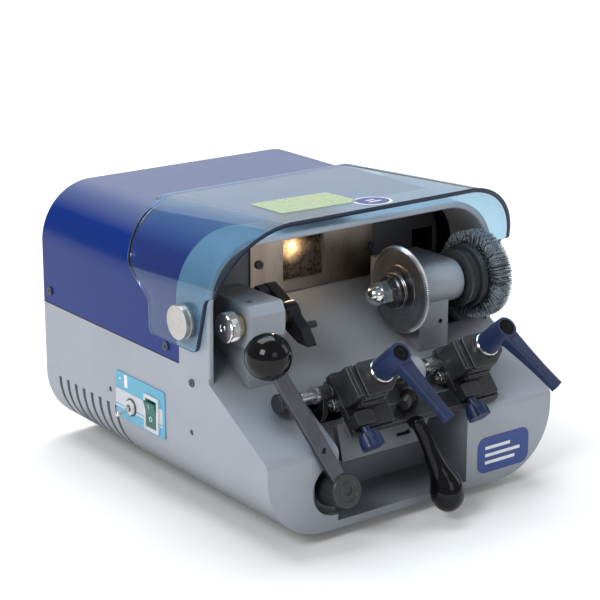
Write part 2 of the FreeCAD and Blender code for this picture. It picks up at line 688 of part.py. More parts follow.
feature("tracer_bracket", make_tracer_bracket())
turned("tracer_quill", [(-143, 0), (-143, 5), (-135.2, 5), (-135.2, 11), (-131.9, 11),
                        (-131.9, "quill_radius"), ("tracer_x + 1", "quill_radius"),
                        ("tracer_x + 1", 0)], SPINDLE_START)
feature("tracer_arm", make_tracer_arm())
feature("tracer_screws", make_tracer_screws())
turned("micrometer_knob", [(-147, 0), (-147, 12), (-145.8, 13.4), (-137.2, 13.4), (-136, 12.2),
                           (-136, 5 + RUN), (-144.5, 5 + RUN), (-144.5, 0)], SPINDLE_START)

# ---------------------------------------------------------------- carriage shaft and its drive

def make_bearing_block():
    """The pillow block that carries the carriage shaft above the deck."""
    x0, x1 = 9, 29
    shape = rod(13, Vec(x0, PIVOT.y, PIVOT.z), x1 - x0)
    shape = shape.fuse(side_prism([(27, deck_height(27)), (50, deck_height(50)),
                                   (PIVOT.y + 12, PIVOT.z + 3), (PIVOT.y - 12, PIVOT.z - 4)],
                                  x0, x1))
    below = side_prism([(0, 0), (80, 0), (80, deck_height(80)), (0, deck_height(0))], x0, x1)
    return shape.cut(below).cut(rod(9, Vec(x0, PIVOT.y, PIVOT.z), x1 - x0))


def make_lever_block():
    shape = block(-100, -76, 16.5, 32, size("recess_floor"), 57)
    return shape.cut(rod(10, lever_point(20), 50, LEVER_AXIS))


def make_bushes():
    inner = size("lever_shaft_radius") + RUN
    return [tube(9, size("shaft_radius") + RUN, Vec(9, PIVOT.y, PIVOT.z), 20),
            tube(10, inner, lever_point(32), 16, LEVER_AXIS),
            tube(10, inner, lever_point(74.5), 6, LEVER_AXIS)]


def make_drive_fork():
    """A collar on the shaft with a plate hanging through the deck to a slotted tab."""
    collar = rod(6.6, Vec(-82, PIVOT.y, PIVOT.z), 12)
    plate = side_prism([(34.5, 116), (42, 116), (42, 104, 2), (46, 100, 2), (98, 100, 4),
                        (98, 74, 4), (64, 74, 2), (64, 85, 2), (50, 85, 4), (38, 92, 4),
                        (34.5, 100, 4)], -76, -71)
    rest = math.radians(size("crank_offset"))
    across = -size("crank_reach") * math.sin(rest)
    up = size("crank_reach") * math.cos(rest)
    edge = -71 - size("lever_x")
    tab = block(across - 11, edge, -up - 12, -up + 14, 95, 100)
    tab = tab.cut(block(across - 4.5, across + 4.5, -up - 6, -up + 7, 94, 101))
    tab.Placement = LEVER
    return collar.fuse([plate, tab]).cut(rod(size("rod_radius"), Vec(-83, PIVOT.y, PIVOT.z), 14))


def make_collars():
    """A wide collar against the right-hand boss and a thin one beside the fork."""
    return [tube(8, size("shaft_radius"), Vec(37.6, PIVOT.y, PIVOT.z), 7),
            tube(7.5, size("rod_radius"), Vec(-86, PIVOT.y, PIVOT.z), 3)]


feature("shaft_bearing_block", make_bearing_block())
feature("lever_bearing_block", make_lever_block())
feature("bronze_bushes", make_bushes())
turned("carriage_shaft", [(0, 0), (0, "rod_radius"), (42.5, "rod_radius"), (42.5, "shaft_radius"),
                          (210, "shaft_radius"), (210, 0)], (-112, "pivot_y", "pivot_z"))
turned("shaft_end_cap", [(0, 0), (0, 7.9), (0.9, 8.8), (21.5, 8.8), (21.5, "rod_radius"),
                         (12.6, "rod_radius"), (12.6, 0)], (-124.6, "pivot_y", "pivot_z"))
feature("drive_fork", make_drive_fork())
feature("shaft_collars", make_collars())

# ---------------------------------------------------------------- feed lever

LEVER_START = ("lever_x", "lever_y", "lever_z")
turned("lever_hub", [(1.4, 0), (1.4, 4), (0, 4), (0, 6.5), (0.7, 7), (0.7, 9), (0, 9.5),
                     (0, "hub_radius - 1.5"), (1.5, "hub_radius"), ("hub_length", "hub_radius"),
                     ("hub_length", "lever_shaft_radius"), (10, "lever_shaft_radius"), (10, 0)],
       LEVER_START, LEVER_AXIS)


def make_lever_shaft():
    """The lever's shaft, with the crank and pin at its inner end."""
    shape = rod(size("lever_shaft_radius"), Vec(0, 0, 10), 84, AXIS_Z)
    reach = size("crank_reach")
    arm = flat_prism([(-8, 10, 7), (8, 10, 7), (7, -reach - 7, 6.5), (-7, -reach - 7, 6.5)],
                     83.5, 89.5)
    pin = rod(4, Vec(0, -reach, 84), 19, AXIS_Z)
    crank = arm.fuse(pin)
    crank.rotate(Vec(0, 0, 0), AXIS_Z, -size("crank_offset"))
    shape = shape.fuse(crank)
    shape.Placement = LEVER
    return shape


def lever_bar_blank():
    bar = flat_prism([(-7, -10), (7, -10), (7, -126, 2), (-7, -126, 2)], 2, 7)
    return bar.cut(rod(2.5, Vec(0, -42, 0), 12, AXIS_Z))


def aim_lever(shape):
    """Swing a piece drawn along the upright of the lever's plane to the lever's own angle."""
    shape.rotate(Vec(0, 0, 0), AXIS_Z, -size("lever_angle"))
    shape.Placement = LEVER.multiply(shape.Placement)
    return shape


def make_lever_bar():
    bar = lever_bar_blank().cut(rod(size("hub_radius"), Vec(0, 0, 0), 28, AXIS_Z))
    return aim_lever(bar)


def make_ball():
    ball = Part.makeSphere(size("ball_radius"), Vec(0, -size("lever_reach"), 4.5))
    return aim_lever(ball.cut(block(-7, 7, -126, -100, 2, 7)))


feature("lever_shaft", make_lever_shaft())
feature("lever_bar", make_lever_bar())
feature("ball_knob", make_ball())

# ---------------------------------------------------------------- carriage

def clamp_frame(side):
    """The clamp's own frame: X across, Y up the jaws' face, Z along the clamp's stud."""
    return FreeCAD.Placement(Vec(CLAMPS[side], size("ring_y"), size("ring_z")),
                             FreeCAD.Rotation(AXIS_X, size("clamp_tilt")))


SEAT = -27.0
JAW = size("jaw_height")
PIVOT_IN_CLAMP = clamp_frame("left").inverse().multVec(PIVOT)
ARM_LEFT, ARM_RIGHT = -31.0, 14.0
WING_U, WING_W = -22.0, -24.0
BRIDGE_FRONT, BRIDGE_TOP = 5.5, 8.0
DECK_FRAME = FreeCAD.Placement(Vec(0, 0, NOSE), FreeCAD.Rotation(AXIS_X, size("deck_angle")))
LOCK = FreeCAD.Placement(Vec(4, 13, 108), FreeCAD.Rotation(AXIS_Z, Vec(-0.846, -0.46, -0.268)))
EYE_V, EYE_W = -6.8, -36.5


def make_arm(side):
    """One clamp's seat, the boss on the carriage shaft and the lug for the wing knob."""
    v, w = PIVOT_IN_CLAMP.y, PIVOT_IN_CLAMP.z
    seat = flat_prism([(ARM_LEFT, -36, 3), (ARM_RIGHT, -36, 3), (ARM_RIGHT, 18, 3),
                       (ARM_LEFT, 18, 3)], SEAT - 7, SEAT)
    lug = flat_prism([(ARM_LEFT, -36, 2), (-13, -36, 2), (-13, -24, 2), (ARM_LEFT, -24, 2)],
                     SEAT - 7, SEAT + 9.5)
    boss = rod(9.5, Vec(ARM_LEFT, v, w), ARM_RIGHT - ARM_LEFT)
    web = block(ARM_LEFT, ARM_RIGHT, v - 9.5, v + 9.5, w, SEAT - 3)
    eye = rod(6.5, Vec(ARM_LEFT, EYE_V, EYE_W), 12)
    shape = seat.fuse([lug, boss, web, eye])
    shape = shape.cut(rod(size("shaft_radius") + RUN, Vec(ARM_LEFT - 1, v, w), 60))
    shape = shape.cut(rod(size("stud_radius"), Vec(0, 0, SEAT - 2.8), 10, AXIS_Z))
    shape = shape.cut(rod(3.1, Vec(WING_U, -37, WING_W), 9, AXIS_Y))
    shape = shape.cut(rod(2, Vec(ARM_LEFT - 1, EYE_V, EYE_W), 9))
    shape.Placement = clamp_frame(side)
    return shape


def make_carriage():
    """Both clamp arms, the bridge that lies over the deck and the skirt in the recess."""
    bridge = block(CLAMPS["left"] + ARM_LEFT, CLAMPS["right"] + ARM_RIGHT,
                   BRIDGE_FRONT, 25, 1.5, BRIDGE_TOP)
    bridge.Placement = DECK_FRAME
    skirt = side_prism([(8.5, 65), (14.5, 65), (23, 93), (16.5, 96)], -75, 28)
    cut = front_prism([(12, 64), (30, 64), (30, 90)], 0, 40)
    post = block(4, 12, 21, 28, 4, 16)
    post.Placement = bridge.Placement
    lock_axis = LOCK.Rotation.multVec(AXIS_Z)
    ear = rod(6, LOCK.multVec(Vec(0, 0, -7)), 7, lock_axis).fuse(post)
    shape = make_arm("left").fuse([make_arm("right"), bridge, skirt.cut(cut), ear])
    shape = shape.cut(rod(9.5, LOCK.Base, 28, lock_axis))
    shape = shape.cut(block(-14, 2, 0, 40, 73, 77))
    for side, x in CLAMPS.items():
        clear = rod(size("shaft_radius") + RUN, Vec(x + ARM_LEFT - 1, PIVOT.y, PIVOT.z), 48)
        shape = shape.cut(clear)
    return shape


def jaw_plan(front, back):
    left, right = -size("jaw_left"), size("jaw_right")
    return [(left, front, 1), (3, front, 1), (right, front + 10, 1), (right, back, 1),
            (left, back, 4)]


def in_clamp(shape, side):
    shape.Placement = clamp_frame(side).multiply(shape.Placement)
    return shape


def make_lower_jaw(side):
    top = -JAW - GAP
    shape = flat_prism(jaw_plan(-20, 14), SEAT, top)
    shape = shape.cut(rod(size("stud_radius") + 0.3, Vec(0, 0, SEAT), 20, AXIS_Z))
    shape = shape.cut(rod(9, Vec(0, 0, top - 6.5), 7, AXIS_Z))
    shape = shape.cut(block(-25, 20, -21, -18.6, top - 6, top - 4.4))
    return in_clamp(shape, side)


def make_upper_jaw(side):
    shape = flat_prism(jaw_plan(-18, 13), -JAW, 0)
    shape = shape.cut(rod(size("stud_radius") + 0.3, Vec(0, 0, -JAW), 20, AXIS_Z))
    shape = shape.cut(rod(9, Vec(0, 0, -JAW), 7, AXIS_Z))
    shape = shape.cut(block(-25, 20, -19, -16.6, -JAW + 2.6, -JAW + 4.2))
    shape = shape.cut(block(-25, 20, -19, -16.6, -JAW + 6.6, -JAW + 8.2))
    return in_clamp(shape, side)


def make_jaw_spring(side):
    """A bellows spring round the stud, in the pockets of the two jaws."""
    folds, pitch, inner, swing, thick = 8, 1.3, 6.4, 1.0, 0.5
    low = -JAW - GAP - 5.6
    line = [Vec(inner + swing * (fold % 2), 0, low + pitch * fold) for fold in range(folds + 1)]
    back = [point + AXIS_X * thick for point in reversed(line)]
    outline = Part.makePolygon(line + back + line[:1])
    return in_clamp(Part.Face(outline).revolve(Vec(0, 0, 0), AXIS_Z, 360), side)


def make_clamp_lever(side):
    """A round hub on the stud with one long grip."""
    hub = rod(10.5, Vec(0, 0, GAP), 24, AXIS_Z).fuse(
        Part.makeCone(10.5, 9.6, 11, Vec(0, 0, GAP + 24), AXIS_Z))
    sections = []
    for reach, half, low, high in ((2, 8, 20.5, 34), (20, 6.6, 21.5, 33.2), (45, 5.4, 22.6, 32.2),
                                   (size("grip_length"), 5.2, 22.8, 32.0)):
        corners = [(-half, low), (half, low), (half, high), (-half, high)]
        sections.append(rounded_wire([(Vec(reach, y, z), 2.6) for y, z in corners]))
    grip = Part.makeLoft(sections, True)
    shape = hub.fuse(grip)
    shape = shape.cut(rod(size("stud_radius") + 0.1, Vec(0, 0, 0), 31.6, AXIS_Z))
    angle = {"left": -70.6, "right": -65.0}[side]
    shape.rotate(Vec(0, 0, 0), AXIS_Z, angle)
    shape.Placement = clamp_frame(side).multiply(shape.Placement)
    return shape


def make_wing_knob(side):
    """A five-lobed thumb knob whose screw enters the front of the seat."""
    screw_part = rod(3, Vec(0, 0, -8), 9, AXIS_Z).fuse(rod(4, Vec(0, 0, GAP), 7, AXIS_Z))
    knob = rod(10.5, Vec(0, 0, 6.5), 13, AXIS_Z)
    for x, y in ring_of_points(5, 13.2):
        knob = knob.cut(rod(4.6, Vec(x, y, 6), 14, AXIS_Z))
    knob = knob.common(Part.makeCone(8.2, 12.5, 14, Vec(0, 0, 6), AXIS_Z))
    shape = screw_part.fuse(knob)
    out = FreeCAD.Placement(Vec(WING_U, -36, WING_W), FreeCAD.Rotation(AXIS_X, 90))
    shape.Placement = clamp_frame(side).multiply(out)
    return shape


def make_eye_screw(side):
    shape = screw(Vec(ARM_LEFT, EYE_V, EYE_W), 5.4, 5, 2, 8, -AXIS_X, 1.6)
    return in_clamp(shape, side)


def make_lock_knob():
    """A pull knob whose stem runs in the carriage's ear."""
    body = rod(9, Vec(0, 0, GAP), 5, AXIS_Z).fuse(rod(5, Vec(0, 0, 5), 13, AXIS_Z))
    body = body.fuse(rod(2.4, Vec(0, 0, -4), 5, AXIS_Z))
    body.Placement = LOCK
    return body


def make_handle():
    """A curved grip that stands off the bridge's front edge and swells to a rounded end."""
    stations = [(-5.5, -5.2, 93.5, 4.2), (-5.0, -5.4, 91.0, 5.7), (-3.4, -6.6, 86.0, 6.0),
                (-0.6, -8.6, 79.5, 6.1), (3.0, -11.5, 69.6, 6.5), (6.6, -15.5, 57.5, 7.6),
                (10.8, -19.5, 45.2, 10.0), (13.6, -22.3, 36.4, 13.4), (14.6, -24.3, 29.3, 15.1),
                (14.6, -25.8, 23.0, 14.9), (14.4, -27.0, 16.8, 12.6), (14.2, -27.8, 12.0, 8.2),
                (14.2, -28.2, 9.8, 4.0)]
    centres = [Vec(x, y, z) for x, y, z, _ in stations]
    wires = []
    for index, centre in enumerate(centres):
        ahead = centres[min(index + 1, len(centres) - 1)]
        behind = centres[max(index - 1, 0)]
        direction = (ahead - behind).normalize()
        wires.append(Part.Wire(Part.makeCircle(stations[index][3], centre, direction)))
    root = rod(4.8, DECK_FRAME.multVec(Vec(-4.6, -0.5, 5)), BRIDGE_FRONT + 0.5,
               DECK_FRAME.Rotation.multVec(AXIS_Y))
    return Part.makeLoft(wires, True).fuse(root)


CARRIAGE = make_carriage()
CARRIAGE = CARRIAGE.cut(rod(2.4 + RUN, LOCK.multVec(Vec(0, 0, -5)), 8,
                            LOCK.Rotation.multVec(AXIS_Z)))
feature("carriage_casting", CARRIAGE)
feature("carriage_handle", make_handle())
feature("lower_jaws", [make_lower_jaw(side) for side in CLAMPS])
feature("clamp_studs", [in_clamp(rod(size("stud_radius"), Vec(0, 0, SEAT - 2.8), 61, AXIS_Z), side)
                        for side in CLAMPS])
feature("jaw_springs", [make_jaw_spring(side) for side in CLAMPS])
feature("carriage_screws", [make_eye_screw(side) for side in CLAMPS])
feature("lock_knob", make_lock_knob())
for side in CLAMPS:
    feature(side + "_upper_jaw", make_upper_jaw(side))
    feature(side + "_clamp_lever", make_clamp_lever(side))
    feature(side + "_wing_knob", make_wing_knob(side))

# ---------------------------------------------------------------- shield

def make_shield():
    """A clear bent shield over the hood, with an arm down each side to its hinge."""
    half, corner, wall = size("shield_half"), size("shield_corner"), size("shield_wall")
    front_y, top = 48, size("shield_top")

    def section(inset):
        shape = front_prism([(-half + inset, -140), (half - inset, -140),
                             (half - inset, -inset, corner - inset),
                             (-half + inset, -inset, corner - inset)], -10, 210)
        shape.rotate(Vec(0, 0, 0), AXIS_X, -3.8)
        shape.translate(Vec(0, front_y, top))
        return shape

    side = side_prism([(43.3, 285), (68.5, 211, 5), (80, 207, 8), (94, 157, 8), (165.5, 157, 7),
                       (166, 188, 10), (203, 212, 20), (222, 256, 9), (238, 257, 4), (238, 290)],
                      -half - 5, half + 5)
    shape = section(0).cut(section(wall)).common(side)
    hinge = Vec(-half - 5, size("hinge_y"), size("hinge_z"))
    return shape.cut(rod(4, hinge, 2 * half + 10))


def make_shield_knobs():
    """A flat grooved knob and its shouldered hinge pin for each side."""
    knobs = []
    half = size("shield_half")
    gap_width = half - size("shield_wall") - HALF
    for side in (-1, 1):
        out = AXIS_X * side
        at = Vec(side * half, size("hinge_y"), size("hinge_z"))
        knob = rod(15, at, 8, out).cut(tube(16, 14.2, at + out * 2.4, 1.6, out))
        pin = rod(4, at - out * 14, 14, out)
        shoulder = rod(8, at - out * size("shield_wall") - out * (gap_width - GAP),
                       gap_width - GAP, out)
        knobs.append(knob.fuse([pin, shoulder]))
    return knobs


feature("shield", make_shield())
feature("shield_knobs", make_shield_knobs())
feature("machine_screws", make_screws())

# ---------------------------------------------------------------- check and write

doc.recompute()
for item in doc.Objects:
    if "Invalid" in item.State or "Error" in item.State:
        raise RuntimeError("failed object: %s %s" % (item.Name, item.State))
for label, item in PARTS:
    if item.Shape.isNull() or not item.Shape.isValid() or not item.Shape.Solids:
        raise RuntimeError("bad shape: " + label)
for label, item in PARTS:
    item.Shape.exportStep("parts/%s.step" % label)
    box = item.Shape.BoundBox
    print("%-22s %9.0f mm3  x %7.1f %7.1f  y %7.1f %7.1f  z %7.1f %7.1f  solids %d" % (
        label, item.Shape.Volume, box.XMin, box.XMax, box.YMin, box.YMax, box.ZMin, box.ZMax,
        len(item.Shape.Solids)))
print(len(PARTS), "sub-parts")
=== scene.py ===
"""Looks of a bench key duplicating machine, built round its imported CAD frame."""

import json
import math
import random

import bmesh
import bpy
from mathutils import Matrix, Vector


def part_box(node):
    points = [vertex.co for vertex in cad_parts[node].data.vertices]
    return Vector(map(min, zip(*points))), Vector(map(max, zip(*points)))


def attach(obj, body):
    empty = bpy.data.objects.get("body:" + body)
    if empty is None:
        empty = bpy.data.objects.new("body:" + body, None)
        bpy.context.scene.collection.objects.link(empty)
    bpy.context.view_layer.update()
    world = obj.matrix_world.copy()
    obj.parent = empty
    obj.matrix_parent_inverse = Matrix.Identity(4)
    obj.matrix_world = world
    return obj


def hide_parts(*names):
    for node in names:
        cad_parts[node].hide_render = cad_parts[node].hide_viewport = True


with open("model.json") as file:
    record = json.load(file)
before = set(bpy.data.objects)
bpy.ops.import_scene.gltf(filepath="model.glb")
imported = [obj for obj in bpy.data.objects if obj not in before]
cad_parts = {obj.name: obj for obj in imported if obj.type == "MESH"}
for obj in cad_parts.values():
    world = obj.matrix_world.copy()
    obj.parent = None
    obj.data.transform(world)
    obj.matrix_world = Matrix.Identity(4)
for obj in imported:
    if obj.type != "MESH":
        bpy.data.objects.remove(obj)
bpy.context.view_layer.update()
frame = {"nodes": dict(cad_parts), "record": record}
NODES = frame["nodes"]
MM = 0.001
AXIS_X, AXIS_Y, AXIS_Z = Vector((1, 0, 0)), Vector((0, 1, 0)), Vector((0, 0, 1))
SPINDLE = Vector((0, 81, 179))
CLAMP_TILT = math.radians(48)
CLAMP_RINGS = {"left": Vector((-37.8, 5, 139.4)), "right": Vector((82.2, 5, 139.4))}
CLAMP_AXIS = Vector((0, -math.sin(CLAMP_TILT), math.cos(CLAMP_TILT)))

# ---------------------------------------------------------------- camera

camera = bpy.data.objects.new("camera", bpy.data.cameras.new("camera"))
bpy.context.scene.collection.objects.link(camera)
camera.data.sensor_width = 36
camera.data.lens = 114.9
camera.data.clip_start = 0.05
camera.data.clip_end = 60
camera.location = (-1.0179, -1.1792, 0.6686)
YAW, PITCH, ROLL = math.radians(37.06), math.radians(16.88), math.radians(-0.17)
forward = Vector((math.sin(YAW) * math.cos(PITCH), math.cos(YAW) * math.cos(PITCH),
                  -math.sin(PITCH)))
camera.rotation_mode = "QUATERNION"
camera.rotation_quaternion = forward.to_track_quat("-Z", "Y")
camera.rotation_quaternion.rotate(Matrix.Rotation(ROLL, 4, forward))
bpy.context.scene.camera = camera


# ---------------------------------------------------------------- materials

class Look:
    """A material whose nodes are added one by one."""

    def __init__(self, name, colour, rough=0.5, metal=0.0, spec=0.5, coat=0.0, coat_rough=0.05):
        self.material = bpy.data.materials.new(name)
        self.material.use_nodes = True
        self.tree = self.material.node_tree
        self.shader = self.tree.nodes["Principled BSDF"]
        self.output = self.tree.nodes["Material Output"]
        self.set("Base Color", (*colour, 1))
        self.set("Roughness", rough)
        self.set("Metallic", metal)
        self.set("Specular IOR Level", spec)
        self.set("Coat Weight", coat)
        self.set("Coat Roughness", coat_rough)
        self.material.diffuse_color = (*colour, 1)
        self.height = None

    def set(self, socket, value):
        self.shader.inputs[socket].default_value = value

    def node(self, kind, **values):
        made = self.tree.nodes.new("ShaderNode" + kind)
        for key, value in values.items():
            setattr(made, key, value)
        return made

    def link(self, source, target):
        self.tree.links.new(source, target)

    def place(self, scale=(1, 1, 1)):
        """Object coordinates, which are the row frame in metres, stretched by a scale."""
        coords = self.node("TexCoord")
        mapping = self.node("Mapping")
        mapping.inputs["Scale"].default_value = scale
        self.link(coords.outputs["Object"], mapping.inputs["Vector"])
        return mapping.outputs["Vector"]

    def noise(self, scale, detail=2.0, rough=0.5, stretch=(1, 1, 1)):
        made = self.node("TexNoise")
        made.inputs["Scale"].default_value = scale
        made.inputs["Detail"].default_value = detail
        made.inputs["Roughness"].default_value = rough
        self.link(self.place(stretch), made.inputs["Vector"])
        return made.outputs["Fac"]

    def cells(self, scale, smooth=0.6):
        made = self.node("TexVoronoi", feature="SMOOTH_F1")
        made.inputs["Scale"].default_value = scale
        made.inputs["Smoothness"].default_value = smooth
        self.link(self.place(), made.inputs["Vector"])
        return made.outputs["Distance"]

    def radius(self, centre, axis):
        """Distance in metres from an axis along X, Y or Z, its centre in millimetres."""
        coords = self.node("TexCoord")
        move = self.node("Mapping")
        move.inputs["Location"].default_value = [-c * MM for c in centre]
        self.link(coords.outputs["Object"], move.inputs["Vector"])
        flat = self.node("VectorMath", operation="MULTIPLY")
        flat.inputs[1].default_value = [1 - abs(c) for c in axis]
        self.link(move.outputs["Vector"], flat.inputs[0])
        length = self.node("VectorMath", operation="LENGTH")
        self.link(flat.outputs["Vector"], length.inputs[0])
        return length.outputs["Value"]

    def rings(self, scale, centre, axis):
        """Fine turning marks round an axis."""
        noise = self.node("TexNoise", noise_dimensions="1D")
        noise.inputs["Scale"].default_value = scale
        noise.inputs["Detail"].default_value = 3
        self.link(self.radius(centre, axis), noise.inputs["W"])
        return noise.outputs["Fac"]

    def painted_edge_highlight(self, width_mm, colour, amount=0.7):
        """Painted highlight: lightens the base colour along corners, where edges catch the light.
        """
        soft = self.node("Bevel", samples=4)
        soft.inputs["Radius"].default_value = width_mm * MM
        hard = self.node("NewGeometry")
        match = self.node("VectorMath", operation="DOT_PRODUCT")
        self.link(soft.outputs["Normal"], match.inputs[0])
        self.link(hard.outputs["Normal"], match.inputs[1])
        mask = self.scaled(match.outputs["Value"], amount, 0.0, 0.80, 0.97)
        mix = self.node("Mix", data_type="RGBA")
        mix.inputs["B"].default_value = (*colour, 1)
        self.link(mask, mix.inputs["Factor"])
        base = self.shader.inputs["Base Color"]
        self.link(base.links[0].from_socket, mix.inputs["A"])
        self.link(mix.outputs["Result"], base)
        return self

    def scaled(self, source, low, high, from_low=0.3, from_high=0.7):
        made = self.node("MapRange")
        made.inputs["From Min"].default_value = from_low
        made.inputs["From Max"].default_value = from_high
        made.inputs["To Min"].default_value = low
        made.inputs["To Max"].default_value = high
        self.link(source, made.inputs["Value"])
        return made.outputs["Result"]

    def tint(self, source, dark, light):
        """Base colour that drifts between two colours."""
        ramp = self.node("ValToRGB")
        ramp.color_ramp.elements[0].position = 0.32
        ramp.color_ramp.elements[1].position = 0.68
        ramp.color_ramp.elements[0].color = (*dark, 1)
        ramp.color_ramp.elements[1].color = (*light, 1)
        self.link(source, ramp.inputs["Fac"])
        self.link(ramp.outputs["Color"], self.shader.inputs["Base Color"])
        return self

    def shade_hollows(self, reach_mm, least):
        """Painted shade: darkens the base colour in hollows by ambient occlusion, where shade
        falls.
        """
        hollow = self.node("AmbientOcclusion", samples=6)
        hollow.inputs["Distance"].default_value = reach_mm * MM
        mask = self.scaled(hollow.outputs["AO"], least, 1.0, 0.2, 0.75)
        mix = self.node("Mix", data_type="RGBA")
        mix.inputs["A"].default_value = (0, 0, 0, 1)
        self.link(mask, mix.inputs["Factor"])
        base = self.shader.inputs["Base Color"]
        self.link(base.links[0].from_socket, mix.inputs["B"])
        self.link(mix.outputs["Result"], base)
        return self

    def roughness(self, source, low, high):
        self.link(self.scaled(source, low, high), self.shader.inputs["Roughness"])
        return self

    def bump(self, source, strength, depth_mm):
        made = self.node("Bump")
        made.inputs["Strength"].default_value = strength
        made.inputs["Distance"].default_value = depth_mm * MM
        self.link(source, made.inputs["Height"])
        if self.height is not None:
            self.link(self.height, made.inputs["Normal"])
        self.height = made.outputs["Normal"]
        self.link(self.height, self.shader.inputs["Normal"])
        return self


GREY = (0.345, 0.372, 0.42)


def shade(colour, factor):
    return tuple(min(1.0, c * factor) for c in colour)


def paint(name, colour, rough, grain_mm, grain, least=0.30):
    """Sprayed paint with orange peel, a slight drift in tone and painted shade in its hollows."""
    look = Look(name, colour, rough)
    look.tint(look.noise(9, 3), shade(colour, 0.95), shade(colour, 1.05))
    # painted shade: the base colour darkens in hollows
    look.shade_hollows(90, least)
    look.roughness(look.noise(60, 4), rough * 0.9, rough * 1.12)
    look.bump(look.cells(1 / (grain_mm * MM)), grain, 0.12)
    look.bump(look.noise(900, 2), grain * 0.5, 0.05)
    return look.material


DEEP_BLUE = (0.0004, 0.021, 0.175)
COVER_MIDDLE = Vector((0, 245, 120))


def cover_paint():
    """Deep gloss blue with a painted sheen, paler where it faces up, and painted shade, near
    black, on the faces inside the cover.
    """
    look = Look("cover_blue", DEEP_BLUE, 0.22, spec=0.2)
    surface = look.node("NewGeometry")
    split = look.node("SeparateXYZ")
    look.link(surface.outputs["Normal"], split.inputs["Vector"])
    # painted sheen: the blue pales where the surface faces up
    pale = look.node("Mix", data_type="RGBA")
    pale.inputs["A"].default_value = (*DEEP_BLUE, 1)
    pale.inputs["B"].default_value = (0.11, 0.145, 0.27, 1)
    drift = look.node("Math", operation="MULTIPLY")
    look.link(look.scaled(split.outputs["Z"], 0, 1, 0.62, 1.0), drift.inputs[0])
    look.link(look.scaled(look.noise(9, 3), 0.9, 1.0), drift.inputs[1])
    look.link(drift.outputs["Value"], pale.inputs["Factor"])
    # painted shade: faces turned inward, inside the cover, go near black
    away = look.node("VectorMath", operation="SUBTRACT")
    away.inputs[1].default_value = COVER_MIDDLE * MM
    look.link(look.place(), away.inputs[0])
    side = look.node("VectorMath", operation="DOT_PRODUCT")
    look.link(away.outputs["Vector"], side.inputs[0])
    look.link(surface.outputs["Normal"], side.inputs[1])
    inner = look.node("Math", operation="LESS_THAN")
    inner.inputs[1].default_value = 0
    look.link(side.outputs["Value"], inner.inputs[0])
    mix = look.node("Mix", data_type="RGBA")
    mix.inputs["B"].default_value = (0.008, 0.009, 0.012, 1)
    look.link(inner.outputs["Value"], mix.inputs["Factor"])
    look.link(pale.outputs["Result"], mix.inputs["A"])
    look.link(mix.outputs["Result"], look.shader.inputs["Base Color"])
    look.roughness(look.noise(60, 4), 0.2, 0.26)
    look.bump(look.cells(450), 0.02, 0.12)
    return look.material


def plastic(name, colour, rough, grain=0.05, grain_scale=1500, spec=0.5):
    """Moulded plastic with a fine tooth and faint flow marks."""
    look = Look(name, colour, rough, spec=spec)
    look.tint(look.noise(35, 4), shade(colour, 0.82), shade(colour, 1.2))
    look.roughness(look.noise(140, 5), rough * 0.85, rough * 1.25)
    look.bump(look.noise(grain_scale, 2), grain, 0.05)
    return look.material


def metal(name, colour, rough, stretch=(1, 1, 1), grain=0.03, scale=900):
    """Bare metal with machining marks drawn out along a stretch."""
    look = Look(name, colour, rough, metal=1.0)
    look.tint(look.noise(70, 3), shade(colour, 0.9), shade(colour, 1.08))
    look.roughness(look.noise(scale, 4, stretch=stretch), rough * 0.8, rough * 1.25)
    look.bump(look.noise(scale, 3, stretch=stretch), grain, 0.02)
    return look.material


def turned_metal(name, colour, rough, centre, axis, scale=2600, grain=0.25):
    look = Look(name, colour, rough, metal=1.0)
    marks = look.rings(scale, centre, axis)
    look.tint(look.noise(60, 4), shade(colour, 0.85), shade(colour, 1.1))
    look.roughness(marks, rough * 0.7, rough * 1.4)
    look.bump(marks, grain, 0.02)
    return look.material


def blackened(name, rough=0.42):
    """Black-oxide steel: brownish black, finely ground, a little uneven."""
    look = Look(name, (0.02, 0.021, 0.024), rough, spec=0.7)
    look.tint(look.noise(90, 5), (0.009, 0.009, 0.011), (0.027, 0.028, 0.032))
    look.roughness(look.noise(420, 4, stretch=(0.15, 1, 1)), rough * 0.75, rough * 1.3)
    look.bump(look.noise(1300, 3, stretch=(0.1, 1, 1)), 0.12, 0.03)
    # painted highlight along the corners
    look.painted_edge_highlight(0.6, (0.50, 0.51, 0.53), 0.85)
    return look.material


def carriage_finish():
    """Grey casting, its grey darkened to about half as painted shade, whose clamp seats are
    machined and blackened above a sloping line.
    """
    look = Look("carriage_finish", GREY, 0.42)
    # painted shade: the casting's grey is darkened to about half
    grey = look.node("ValToRGB")
    grey.color_ramp.elements[0].color = (*shade(GREY, 0.48), 1)
    grey.color_ramp.elements[1].color = (*shade(GREY, 0.56), 1)
    look.link(look.noise(9, 3), grey.inputs["Fac"])
    split = look.node("VectorMath", operation="DOT_PRODUCT")
    split.inputs[1].default_value = CLAMP_AXIS
    look.link(look.place(), split.inputs[0])
    seat_line = CLAMP_RINGS["left"].dot(CLAMP_AXIS) - 34.4
    above = look.node("Math", operation="GREATER_THAN")
    above.inputs[1].default_value = seat_line * MM
    look.link(split.outputs["Value"], above.inputs[0])
    mix = look.node("Mix", data_type="RGBA")
    mix.inputs["B"].default_value = (0.022, 0.022, 0.025, 1)
    look.link(above.outputs["Value"], mix.inputs["Factor"])
    look.link(grey.outputs["Color"], mix.inputs["A"])
    look.link(mix.outputs["Result"], look.shader.inputs["Base Color"])
    # painted shade in the hollows
    look.shade_hollows(90, 0.30)
    look.roughness(look.noise(60, 4), 0.36, 0.46)
    look.bump(look.cells(770), 0.10, 0.12)
    # painted highlight along the corners
    look.painted_edge_highlight(0.6, (0.42, 0.44, 0.47), 0.5)
    return look.material


